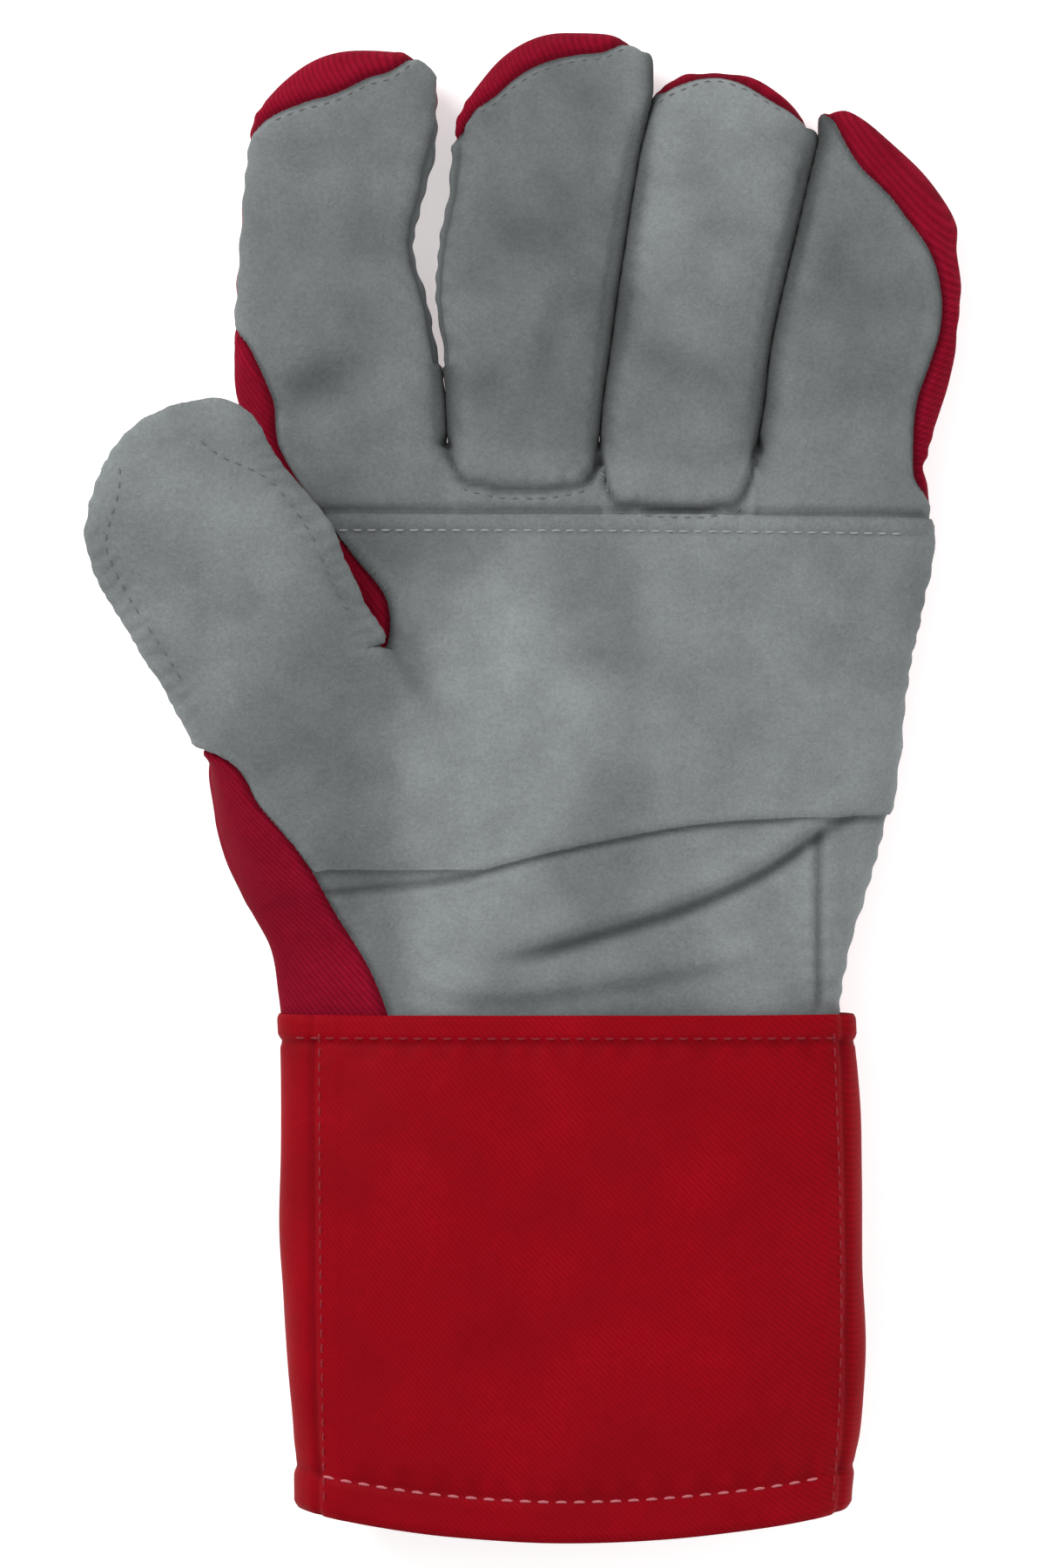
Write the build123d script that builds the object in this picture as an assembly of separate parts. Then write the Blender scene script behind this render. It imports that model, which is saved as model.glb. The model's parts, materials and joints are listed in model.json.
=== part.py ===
"""A left-hand leather-palm work glove with a gauntlet cuff, lying on its back with the palm up.

Millimetres. +X runs from the thumb side to the little finger, +Y from the cuff to the fingertips and +Z out of
the palm. The glove rests on z = 0, and the origin is under the middle of its bounding box.

The skin is a hollow shell, as the sewn glove is: the hand, four fingers, the thumb and the cuff each start as a
tube with an outer and an inner surface. Each tube is cut across where the glove folds, and then along its seams
into palm-side leather, back fabric and the gussets between the fingers.
"""

import math
import os

from build123d import *

# Driving dimensions
WALL = 1.6  # leather or lined drill, through the skin
CORNER = 0.46  # corner radius of a tube section, as a share of its thickness
FINGER_GAP = 0.5  # from each finger's side to the line between two fingers
FOLD_GAP = 0.3  # from each cut face to the fold line between two moving parts
FOLD_HEIGHT = 10.0  # height of the finger folds above the floor
SPARE = 5.0  # how far a cutting shape runs past what it cuts
REACH = 400.0  # length of a cutting prism, wider than the whole glove

# Folds: how far each bends towards the palm, and back, in degrees
BASE_FOLD = (70.0, 10.0)
MIDDLE_FOLD = (80.0, 5.0)
WRIST_FOLD = (45.0, 35.0)
THUMB_BASE_FOLD = (40.0, 0.0)
THUMB_TIP_FOLD = (50.0, 5.0)
BEVEL_SPARE = 1.5  # degrees that a cut face stands back beyond half of the fold

# Where things lie along the glove
KNUCKLE_LINE = 66.0  # the fingers leave the hand here
BASE_FOLD_Y = 90.0
WRIST_Y, WRIST_Z = -38.0, 15.0
HAND_END = -59.0  # the wrist runs this far into the cuff
CUFF_TOP, CUFF_CORNER, CUFF_MIDDLE = -50.0, -157.5, -163.4
PATCH_WALL = 1.4
STRAP = (-40.0, 75.0, 44.0, 61.0, 1.2)  # left, right, wrist edge, knuckle edge, thickness
ELASTIC = (-40.0, 58.0, -31.0, -25.0, 1.0)
ELASTIC_BOTTOM = 3.6
LINING_WALL = 1.0
LINING_ENDS = (-27.0, 60.0)
SEAM_HEIGHT = 12.0  # the hand's leather meets its back this far above the floor
GUSSET_HALF = 4.0  # half height of the strips between the fingers

# Left and right edge and thickness of each finger at heights along Y, and its middle fold
FINGERS = {
    "index": dict(
        fold=122.0,
        gusset_left=False,
        gusset_right=True,
        rows=[
            (60.0, -60.0, -18.2, 20.0),
            (95.0, -63.3, -18.8, 20.0),
            (118.0, -62.1, -23.8, 19.0),
            (145.0, -58.4, -18.2, 17.0),
            (154.0, -52.5, -21.5, 14.0),
            (160.0, -44.0, -31.0, 8.0),
        ],
    ),
    "middle": dict(
        fold=124.0,
        gusset_left=True,
        gusset_right=True,
        rows=[
            (60.0, -18.2, 15.6, 20.0),
            (95.0, -18.6, 18.0, 20.0),
            (124.0, -17.9, 22.6, 19.0),
            (147.0, -14.0, 26.6, 17.0),
            (157.0, -6.0, 26.0, 14.0),
            (163.4, 5.0, 19.0, 8.0),
        ],
    ),
    "ring": dict(
        fold=121.0,
        gusset_left=True,
        gusset_right=True,
        rows=[
            (60.0, 15.6, 49.4, 20.0),
            (95.0, 18.0, 54.4, 20.0),
            (124.0, 22.6, 60.2, 19.0),
            (141.0, 26.0, 62.6, 17.0),
            (150.0, 29.6, 57.0, 14.0),
            (156.4, 36.0, 46.0, 8.0),
        ],
    ),
    "little": dict(
        fold=117.0,
        gusset_left=True,
        gusset_right=False,
        rows=[
            (60.0, 49.4, 88.0, 20.0),
            (95.0, 54.4, 94.6, 20.0),
            (110.0, 57.4, 95.6, 19.0),
            (130.0, 61.6, 90.6, 17.0),
            (140.0, 63.0, 84.0, 14.0),
            (146.8, 65.0, 75.0, 8.0),
        ],
    ),
}

# The hand and the cuff: height along Y, left and right edge, underside and top
HAND = [
    (66.0, -60.0, 88.0, 1.2, 21.0),
    (40.0, -53.0, 87.0, 1.2, 22.6),
    (8.0, -68.0, 81.5, 1.2, 28.0),
    (-15.0, -63.0, 77.0, 1.2, 28.0),
    (-45.0, -53.5, 68.5, 2.6, 28.4),
    (-59.0, -50.5, 66.0, 4.0, 28.4),
]
PATCH_OUTLINE = [
    (-27.0, 57.0),
    (78.0, 57.0),
    (72.0, -8.0),
    (30.0, -14.0),
    (-38.0, -23.0),
    (-38.0, 8.0),
]
PATCH_FOOT = 18.0  # the patch reaches this low round the sides

CUFF_UNDERSIDE = -0.3  # trimmed off flat at the floor
CUFF = [
    (CUFF_TOP, -55.0, 71.8, CUFF_UNDERSIDE, 34.0),
    (-85.0, -53.6, 73.6, CUFF_UNDERSIDE, 37.0),
    (-130.0, -51.8, 74.2, CUFF_UNDERSIDE, 39.0),
    (CUFF_MIDDLE, -50.4, 71.6, CUFF_UNDERSIDE, 40.0),
]
CUFF_SEAM_HEIGHT = 18.0
HEM_HEIGHT = 10.0
HEM_WALL = 1.2

# Stitches: each is a short bar of thread on the surface
STITCH = (2.6, 0.8, 0.5)  # length, width, height
STITCH_PITCH = 4.2
STITCH_LIFT = 0.12  # from the surface, so that a flat bar stays clear of a sloping one
HEM_STITCHES = 27
PATCH_STITCHES = 21

# The thumb has its own frame: Y along it, X along its folds, Z out of its palm side
THUMB_BASE = Vector(-61.0, 36.0, 31.0)  # middle of the base fold
THUMB_LEAN = 22.3  # degrees that it leans away from +Y, towards the thumb side
THUMB_RISE = 10.0  # degrees that it rises out of the palm
THUMB_TIP_FOLD_Y = 22.0
THUMB = [
    (-52.0, 0.0, 40.0, 15.0),
    (-14.0, 3.0, 45.7, 16.6),
    (0.0, 1.2, 46.3, 16.6),
    (12.8, -0.2, 48.4, 16.2),
    (25.0, -2.1, 46.1, 15.6),
    (37.0, -2.8, 38.3, 13.6),
    (43.0, -1.8, 27.0, 10.4),
    (48.0, 0.5, 12.0, 6.0),
]


def section(y, x, width, z, thickness):
    """One rounded cross-section of a tube, square to Y."""
    plane = Plane(origin=(x, y, z), x_dir=(1, 0, 0), z_dir=(0, 1, 0))
    return plane * RectangleRounded(width, thickness, CORNER * min(width, thickness))


def loft_rows(rows):
    """A solid through rounded sections, given as (y, x, width, z, thickness)."""
    return loft([section(*row) for row in rows], ruled=True)


def shrink(rows, depth, open_low=True, open_high=True):
    """The same rows a wall's depth further in, run out past each open end."""
    inner = [(y, x, w - 2 * depth, z, t - 2 * depth) for y, x, w, z, t in rows]
    first, last = inner[0], inner[-1]
    step = math.copysign(SPARE, rows[-1][0] - rows[0][0])
    low = (first[0] - step, *first[1:]) if open_low else (first[0] + depth, *first[1:])
    high = (last[0] + step, *last[1:]) if open_high else (last[0] - depth, *last[1:])
    middle = inner if open_high else inner[:-1]
    return [low, *middle, high] if open_low else [low, *middle[1:], high]


def centred(rows):
    """Rows of (y, left, right, underside, top) as the rows that a loft takes."""
    return [(y, (l + r) / 2, r - l, (low + top) / 2, top - low) for y, l, r, low, top in rows]


def finger_rows(rows):
    """A finger's rows, which stand on the floor and stay clear of the next finger."""
    return centred(
        [(y, l + FINGER_GAP, r - FINGER_GAP, 0.0, thick) for y, l, r, thick in rows]
    )


def side_prism(outline, left=-REACH / 2, right=REACH / 2):
    """A closed outline of (y, z) points, run across the glove from left to right."""
    face = make_face(Polyline(*[(left, y, z) for y, z in outline], close=True))
    return extrude(face, amount=right - left, dir=(1, 0, 0))


def past_fold(y, z, angles, after):
    """All that lies past a fold's bevelled cut, on its far side or, with after, on its near side."""
    side = 1 if after else -1
    up, down = (math.tan(math.radians(a / 2 + BEVEL_SPARE)) for a in angles)
    start, far = y + side * FOLD_GAP, y - side * REACH
    tall = REACH / 4
    return side_prism(
        [
            (start + side * up * tall, z + tall),
            (start, z),
            (start + side * down * tall, z - tall),
            (far, z - tall),
            (far, z + tall),
        ]
    )


def past(y, after):
    """All that lies past a plain cut square to Y."""
    return Pos(0, y - (REACH if after else -REACH) / 2, 0) * Box(REACH, REACH, REACH)


def above(z_low, x_low=-REACH / 2, x_high=REACH / 2):
    """A block over a height, for cutting one side of a seam."""
    return Pos((x_low + x_high) / 2, 0, z_low + REACH / 2) * Box(
        x_high - x_low, 2 * REACH, REACH
    )


def middle_x(rows, y):
    """The middle of a finger at a height along Y."""
    for (y0, l0, r0, _), (y1, l1, r1, _) in zip(rows, rows[1:]):
        if y0 <= y <= y1:
            share = (y - y0) / (y1 - y0)
            return ((l0 + r0) * (1 - share) + (l1 + r1) * share) / 2
    return (rows[-1][1] + rows[-1][2]) / 2


def finger_segments(name):
    """A finger's hollow tube in three pieces: the root in the hand, the middle and the tip."""
    finger = FINGERS[name]
    rows = finger_rows(finger["rows"])
    tube = loft_rows(rows) - loft_rows(shrink(rows, WALL, open_high=False))
    base = BASE_FOLD_Y, FOLD_HEIGHT, BASE_FOLD
    fold = finger["fold"], FOLD_HEIGHT, MIDDLE_FOLD
    return {
        "root": tube - past(KNUCKLE_LINE, True) - past_fold(*base, False),
        "shaft": tube - past_fold(*base, True) - past_fold(*fold, False),
        "tip": tube - past_fold(*fold, True),
    }


def seam_blocks(finger, y_low, y_high):
    """Blocks for a finger's palm side and back, each reaching its seam at both sides."""
    x = middle_x(finger["rows"], (y_low + y_high) / 2)
    left = GUSSET_HALF if finger["gusset_left"] else 0.0
    right = GUSSET_HALF if finger["gusset_right"] else 0.0
    front = above(FOLD_HEIGHT + left, x_high=x) + above(FOLD_HEIGHT + right, x_low=x)
    flip = Plane(origin=(0, 0, FOLD_HEIGHT), z_dir=(0, 0, 1))
    return front, mirror(front, about=flip)


def solids_of(shape):
    """The solids of a cut's result, which may be one solid, several or a list."""
    parts = shape if isinstance(shape, (list, ShapeList)) else [shape]
    return [s for p in parts if p is not None for s in p.solids()]


def finger_panels(name):
    """Named panels of one finger, keyed by the node's name."""
    finger = FINGERS[name]
    nodes = {}
    ends = [KNUCKLE_LINE, BASE_FOLD_Y, finger["fold"], finger["rows"][-1][0]]
    for (place, tube), low, high in zip(finger_segments(name).items(), ends, ends[1:]):
        front, back = seam_blocks(finger, low, high)
        nodes[f"{name}_{place}_palm_side"] = solids_of(tube & front)
        nodes[f"{name}_{place}_back"] = solids_of(tube & back)
        nodes[f"{name}_{place}_gusset"] = solids_of(tube - front - back)
    return nodes


def thumb_frame():
    """The thumb's own frame, with its folds along X."""
    lean, rise = math.radians(THUMB_LEAN), math.radians(THUMB_RISE)
    along = Vector(
        -math.sin(lean) * math.cos(rise), math.cos(lean) * math.cos(rise), math.sin(rise)
    )
    across = Vector(math.cos(lean), math.sin(lean), 0)
    return Plane(origin=THUMB_BASE, x_dir=across, z_dir=across.cross(along))


def thumb_rows():
    return [(y, x, width, 0.0, t) for y, x, width, t in THUMB]


def sealed_block(outline, z_low, z_high):
    """An upright block over an outline of (x, y) points."""
    face = make_face(Polyline(*[(x, y, z_low) for x, y in outline], close=True))
    return extrude(face, amount=z_high - z_low, dir=(0, 0, 1))


def bar(left, right, y_low, y_high, z_low, z_high):
    """A plain block from one corner to the other."""
    size = (right - left, y_high - y_low, z_high - z_low)
    centre = ((left + right) / 2, (y_low + y_high) / 2, (z_low + z_high) / 2)
    return Pos(*centre) * Box(*size)


def hand_parts():
    """The hand's shell with the thumb's root, cut into leather, fabric, thumb root and wrist."""
    rows = centred(HAND)
    frame = thumb_frame()
    thumb = thumb_rows()
    root_outer = frame.location * (
        loft_rows(thumb) - past(-44.0, True) - past_fold(0.0, 0.0, THUMB_BASE_FOLD, False)
    )
    root_hollow = frame.location * loft_rows(shrink(thumb[:3], WALL))
    outer = loft_rows(rows)
    hollow = loft_rows(shrink(rows, WALL)) + root_hollow
    shell = outer + root_outer - hollow
    wrist = (WRIST_Y, WRIST_Z, WRIST_FOLD)
    hand = shell - past_fold(*wrist, True)
    stub = shell - past_fold(*wrist, False)
    leather = above(SEAM_HEIGHT)
    thumb_block = frame.location * (Pos(0, -6.0, 0) * Box(70, 24, 60))
    upper = hand & leather

    raised = [(y, x, w + 2 * PATCH_WALL, z, t + 2 * PATCH_WALL) for y, x, w, z, t in rows]
    patch = loft_rows(raised) - outer - root_outer
    patch = patch & sealed_block(PATCH_OUTLINE, PATCH_FOOT, REACH)

    lining = loft_rows(shrink(rows, WALL)) - loft_rows(shrink(rows, WALL + LINING_WALL))
    lining_space = bar(-REACH, REACH, *LINING_ENDS, SEAM_HEIGHT, REACH)
    lining = (lining & lining_space) - root_hollow - root_outer

    return {
        "palm_leather": solids_of(upper - thumb_block),
        "thumb_root": solids_of(upper & thumb_block),
        "hand_back": solids_of(hand - leather),
        "wrist_leather": solids_of(stub & leather),
        "wrist_back": solids_of(stub - leather),
        "palm_patch": solids_of(patch),
        "palm_lining": solids_of(lining),
        "knuckle_strap": solids_of(bar(*STRAP[:4], 0.0, STRAP[4])),
        "wrist_elastic": solids_of(
            bar(*ELASTIC[:4], ELASTIC_BOTTOM, ELASTIC_BOTTOM + ELASTIC[4])
        ),
    }


def thumb_parts():
    """The thumb past its base fold: two moving pieces, each in a palm side and a back."""
    rows = thumb_rows()
    tube = loft_rows(rows) - loft_rows(shrink(rows, WALL, open_high=False))
    base = (0.0, 0.0, THUMB_BASE_FOLD)
    fold = (THUMB_TIP_FOLD_Y, 0.0, THUMB_TIP_FOLD)
    pieces = {
        "shaft": tube - past_fold(*base, True) - past_fold(*fold, False),
        "tip": tube - past_fold(*fold, True),
    }
    location = thumb_frame().location
    nodes = {}
    for place, piece in pieces.items():
        nodes[f"thumb_{place}_palm_side"] = solids_of(location * (piece & above(0.0)))
        nodes[f"thumb_{place}_back"] = solids_of(location * (piece - above(0.0)))
    return nodes


def below_mouth(lift=0.0):
    """All that lies past the cuff's bowed lower edge, or past that edge moved up."""
    _, left, right, _, _ = CUFF[-1]
    corner, middle = CUFF_CORNER + lift, CUFF_MIDDLE + lift
    edge = ThreePointArc(
        (left - SPARE, corner, -SPARE),
        ((left + right) / 2, middle, -SPARE),
        (right + SPARE, corner, -SPARE),
    )
    far = Polyline(
        (right + SPARE, corner, -SPARE),
        (right + SPARE, -REACH, -SPARE),
        (left - SPARE, -REACH, -SPARE),
        (left - SPARE, corner, -SPARE),
    )
    return extrude(make_face([edge, far]), amount=REACH, dir=(0, 0, 1))


def top_at(rows, y):
    """The top of a shell at a height along Y."""
    for (y0, _, _, z0, t0), (y1, _, _, z1, t1) in zip(rows, rows[1:]):
        if min(y0, y1) <= y <= max(y0, y1):
            share = (y - y0) / (y1 - y0)
            low, high = z0 + t0 / 2, z1 + t1 / 2
            return low + (high - low) * share
    raise ValueError(f"no row reaches {y}")


def stitch_row(rows, count, x_middle, y_at, raised=0.0):
    """Stitches side by side across a shell's top, each at the height along Y that y_at gives."""
    solids = []
    length, width, height = STITCH
    for step in range(count):
        x = x_middle + (step - (count - 1) / 2) * STITCH_PITCH
        y = y_at(x)
        z = top_at(rows, y) + raised + STITCH_LIFT
        stitch = bar(x - length / 2, x + length / 2, y - width / 2, y + width / 2, z, z + height)
        solids += stitch.solids()
    return solids


def cuff_parts():
    """The gauntlet: two panels sewn at the sides, the turned-in hem and the hem's thread."""
    rows = centred(CUFF)
    under_floor = bar(-REACH, REACH, -REACH, REACH, -REACH, 0.0)
    outside = below_mouth() + under_floor
    shell = loft_rows(rows) - loft_rows(shrink(rows, WALL)) - outside
    hem = loft_rows(shrink(rows, WALL)) - loft_rows(shrink(rows, WALL + HEM_WALL))
    hem = (hem & below_mouth(HEM_HEIGHT)) - outside
    front = above(CUFF_SEAM_HEIGHT)
    x_middle = (CUFF[-1][1] + CUFF[-1][2]) / 2
    bow = (CUFF_CORNER - CUFF_MIDDLE) / ((CUFF[-1][2] - CUFF[-1][1]) / 2) ** 2

    def hem_line(x):
        return CUFF_MIDDLE + HEM_HEIGHT - 1.0 + bow * (x - x_middle) ** 2

    return {
        "cuff_front": solids_of(shell & front),
        "cuff_back": solids_of(shell - front),
        "cuff_hem": solids_of(hem),
        "cuff_hem_thread": stitch_row(rows, HEM_STITCHES, x_middle, hem_line),
    }


def patch_thread():
    """The row of stitches along the patch's knuckle edge."""
    return stitch_row(
        centred(HAND), PATCH_STITCHES, 26.0, lambda x: PATCH_OUTLINE[0][1] - 3.0, PATCH_WALL
    )


def build():
    nodes = {}
    for name in FINGERS:
        nodes |= finger_panels(name)
    nodes |= hand_parts()
    nodes["palm_patch_thread"] = patch_thread()
    nodes |= thumb_parts()
    nodes |= cuff_parts()
    return nodes


nodes = build()
os.makedirs("parts", exist_ok=True)
for name, solids in nodes.items():
    shape = solids[0] if len(solids) == 1 else Compound(children=solids)
    export_step(shape, f"parts/{name}.step")
    print(name, len(solids), round(sum(s.volume for s in solids)))
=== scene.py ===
# %% [markdown]
# # A leather palm work glove with a gauntlet cuff
#
# A glove is sewn from flat pieces: soft grey leather over the palm, red cotton on the back, leather strips
# between the fingers, and a stiff red cuff. Sewn and turned right side out, they make one closed skin with
# valleys where the seams are. This lesson follows the same order. It makes the whole skin first, presses
# the seams and creases into it, cuts it along the seams into its panels, and gives each panel a thickness,
# a place in the moving glove and a finish.
#
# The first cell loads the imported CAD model, which fixes every size and every joint.

# %% Load the frame
import json
import math

import bpy
import numpy as np
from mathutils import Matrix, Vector
from mathutils.bvhtree import BVHTree


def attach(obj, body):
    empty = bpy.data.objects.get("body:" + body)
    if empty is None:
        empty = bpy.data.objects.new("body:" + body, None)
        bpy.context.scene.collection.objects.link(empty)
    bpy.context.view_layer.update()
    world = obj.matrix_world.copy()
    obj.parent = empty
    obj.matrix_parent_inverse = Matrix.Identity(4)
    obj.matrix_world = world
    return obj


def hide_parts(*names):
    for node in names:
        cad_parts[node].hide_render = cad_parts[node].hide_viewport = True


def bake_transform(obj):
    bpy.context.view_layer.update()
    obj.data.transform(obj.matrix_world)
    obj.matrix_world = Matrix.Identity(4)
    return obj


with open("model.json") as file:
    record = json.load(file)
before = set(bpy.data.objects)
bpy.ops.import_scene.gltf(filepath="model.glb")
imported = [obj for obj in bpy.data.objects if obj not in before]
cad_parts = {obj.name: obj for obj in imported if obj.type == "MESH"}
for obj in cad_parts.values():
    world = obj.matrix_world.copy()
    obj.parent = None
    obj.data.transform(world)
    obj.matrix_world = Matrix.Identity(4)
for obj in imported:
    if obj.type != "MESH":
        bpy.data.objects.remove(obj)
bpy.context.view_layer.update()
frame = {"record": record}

# %% [markdown]
# ## Smooth lines
#
# Every outline of the glove is a soft curve: the side of a finger, a seam, the border of the patch. Each is
# set here by a few points in millimetres, and one helper draws a smooth line through them. A second helper
# makes an even step from 0 to 1, which is useful wherever something fades in or out.

# %% Helpers for smooth lines
MM = 0.001


def curve(at, points):
    """A smooth line through given points, held level past its two ends."""
    xs, ys = np.array(points, float).T
    slopes = np.gradient(ys, xs)
    at = np.clip(at, xs[0], xs[-1])
    i = np.clip(np.searchsorted(xs, at) - 1, 0, len(xs) - 2)
    width = xs[i + 1] - xs[i]
    t = (at - xs[i]) / width
    start = (1 + 2 * t) * (1 - t) ** 2 * ys[i] + t * (1 - t) ** 2 * width * slopes[i]
    end = t * t * (3 - 2 * t) * ys[i + 1] - t * t * (1 - t) * width * slopes[i + 1]
    return start + end


def fade(at, start, end):
    """0 before start and 1 after end, with a soft step between. Start may be the larger."""
    t = np.clip((at - start) / (end - start), 0, 1)
    return t * t * (3 - 2 * t)


def bump(at, middle, reach):
    """A round hump of height 1 at middle that dies away at about its reach."""
    return np.exp(-(((at - middle) / reach) ** 2))


# %% [markdown]
# ## The sizes of the fingers
#
# A work glove's fingers are wide and flat, and the ones in the middle press against each other. So the
# fingers are set by the lines between them: two neighbours share a line and each stops a little short of
# it. Only the index and middle finger stand apart, so each has a line of its own there. The round end of a
# finger is set by where it starts, where it ends, and how square it is.

# %% Finger outlines, in millimetres
INDEX_LEFT = [
    (56, -48), (66, -53.6), (74, -58.3), (84, -63.4), (95, -64.6), (107, -64.4), (118, -63.3),
    (140, -61.2),
]
INDEX_RIGHT = [
    (56, -16), (74, -17), (84, -17.4), (95, -18.9), (107, -21.1), (118, -24), (130, -21.5),
    (140, -19.2),
]
MIDDLE_LEFT = [
    (56, -16), (74, -17), (84, -17.4), (95, -18.3), (107, -20.2), (118, -19.7), (130, -17.4),
    (138, -16.5),
]
MIDDLE_RING = [
    (56, 16.5), (74, 16.2), (84, 17), (95, 18.6), (107, 20.2), (118, 21.8), (130, 23.6), (140, 25.3),
    (152, 28),
]
RING_LITTLE = [
    (56, 50), (74, 50.8), (84, 52.4), (95, 53.6), (107, 56), (118, 58.6), (130, 61.6), (142, 64.6),
]
LITTLE_RIGHT = [(56, 88), (68, 87.6), (78, 90.4), (90, 93.8), (101, 95.4), (112, 96.4), (118, 95.6)]

# Each finger: its two side lines, where its round end starts and ends, how square that end is, the end's
# middle, and half of its thickness at the root and at the end
FINGERS = {
    "index": dict(
        left=INDEX_LEFT, right=INDEX_RIGHT, end=(140, 161.5), square=2.45, middle=-35.0, half=(10.2, 8.6)
    ),
    "middle": dict(
        left=MIDDLE_LEFT, right=MIDDLE_RING, end=(138, 165.6), square=2.55, middle=11.6, half=(10.2, 8.6)
    ),
    "ring": dict(
        left=MIDDLE_RING, right=RING_LITTLE, end=(138, 157.0), square=2.15, middle=41.8, half=(10.2, 8.4)
    ),
    "little": dict(
        left=RING_LITTLE, right=LITTLE_RIGHT, end=(118, 149.0), square=1.8, middle=70.0, half=(10.2, 8.0)
    ),
}
NAMES = list(FINGERS)
FINGER_GAP = 0.7
FINGER_POWER = 2.3
FINGER_ROOT_Y, ROOT_LENGTH = 66, 14
BASE_FOLD_Y = 90
print(len(FINGERS), "fingers")

# %% [markdown]
# ## A skin from distances
#
# How could one smooth skin with five fingers be made? Tubes joined by hand leave a bad corner where each
# finger meets the palm. Instead the glove is described by a distance field: a grid of numbers that are
# negative inside and positive outside. Fields are easy to combine. The smaller of two joins them, and a
# soft version of that melts a finger into the palm the way leather spans the crotch between two fingers.

# %% The grid
STEP = 0.9
LEAST_SLOPE = 0.02
LOW = np.array([-101.0, -66.0, -3.0])
HIGH = np.array([101.0, 170.0, 47.0])
grid = [np.arange(LOW[i], HIGH[i], STEP, dtype=np.float32) for i in range(3)]
gx, gy, gz = np.meshgrid(*grid, indexing="ij", sparse=True)
print("grid of", [len(g) for g in grid], "points")


def true_distance(field):
    """Divides a field by its slope, so that it counts real millimetres near its surface."""
    slope = np.sqrt(sum(np.square(g) for g in np.gradient(field, STEP)))
    return field / np.maximum(slope, LEAST_SLOPE)


def melt(a, b, reach):
    """The smaller of two distances, rounded over where they are within reach of each other."""
    h = np.clip(0.5 + 0.5 * (b - a) / reach, 0, 1)
    return b + (a - b) * h - reach * h * (1 - h)


# %% [markdown]
# A finger is a tube whose cross-section is a rounded rectangle, drawn with the superellipse formula: a
# power of 2 is an ellipse, and a higher power is more square. The same formula closes the end.

# %% One finger as a field
def finger_field(size):
    """One finger from its root inside the palm to its round end."""
    start, end = size["end"]
    left = curve(gy, size["left"])
    right = curve(gy, size["right"])
    lean = fade(gy, start, end)
    middle = (left + right) / 2 * (1 - lean) + size["middle"] * lean
    across = np.abs(gx - middle) / ((right - left) / 2)
    half = size["half"][0] + (size["half"][1] - size["half"][0]) * fade(gy, BASE_FOLD_Y, end)
    up = np.abs(gz - half) / half
    ring = (across**FINGER_POWER + up**FINGER_POWER) ** (1 / FINGER_POWER)
    past_start = (gy - start) / (end - start)
    reach = np.maximum(np.maximum(past_start, (FINGER_ROOT_Y - gy) / ROOT_LENGTH), 0)
    n = size["square"]
    body = true_distance((ring**n + reach**n) ** (1 / n) - 1)
    return np.maximum(body, np.maximum(left + FINGER_GAP - gx, gx - right + FINGER_GAP))


fingers = {name: finger_field(size) for name, size in FINGERS.items()}
print("finger fields of", fingers["index"].shape, "points")

# %% [markdown]
# The hand is one wide flat tube. It narrows at the wrist, is open at its lower end where the cuff takes
# over, and ends above in a line that dips at the foot of each gap between two fingers.

# %% The hand as a field
HAND_LEFT = [
    (-66, -52.6), (-47, -53.6), (-36, -55.4), (-24, -60.8), (-7, -66.1), (4, -69), (20, -62),
    (36, -50), (48, -46), (60, -48), (74, -53),
]
HAND_RIGHT = [
    (-66, 67.6), (-47, 68.4), (-36, 70.6), (-24, 74.5), (-13, 77.5), (4, 80.2), (21, 82.5), (38, 86),
    (50, 88.4), (74, 88),
]
HAND_TOP = [(-66, 28.2), (-45, 27.4), (-15, 26.4), (8, 26), (40, 23.4), (60, 21.4), (74, 20)]
HAND_UNDER = [(-66, 4), (-45, 2.6), (-15, 1.2), (74, 1.2)]
FINGER_FOOT = [(-60, 69), (-17, 73.2), (16, 67), (50, 70), (88, 67)]
HAND_POWER = 3
FOOT_ROUNDING = 5.0
LEATHER_SPAN = 4.0
JOINED_Y, FREE_Y = 69, 81

left, right = curve(gy, HAND_LEFT), curve(gy, HAND_RIGHT)
top, under = curve(gy, HAND_TOP), curve(gy, HAND_UNDER)
across = np.abs(gx - (left + right) / 2) / ((right - left) / 2)
up = np.abs(gz - (top + under) / 2) / ((top - under) / 2)
hand = true_distance((across**HAND_POWER + up**HAND_POWER) ** (1 / HAND_POWER) - 1)
foot = gy - curve(gx, FINGER_FOOT)
hand = -melt(-hand, -foot, FOOT_ROUNDING)

palm = hand
for name in NAMES:
    palm = melt(palm, fingers[name], 0.05 + LEATHER_SPAN * fade(gy, FREE_Y, JOINED_Y))
print("hand and fingers joined")

# %% [markdown]
# ## The thumb
#
# The thumb is the widest finger. It leans out to the side, rises a little off the palm, and its own fold
# lines lie across it, so it has a frame of its own, taken from the joint in the CAD. Its root melts into
# the palm as a soft mound. Higher up, it passes over the edge of the hand without touching it, so a thin
# gap is carved there.

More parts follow.
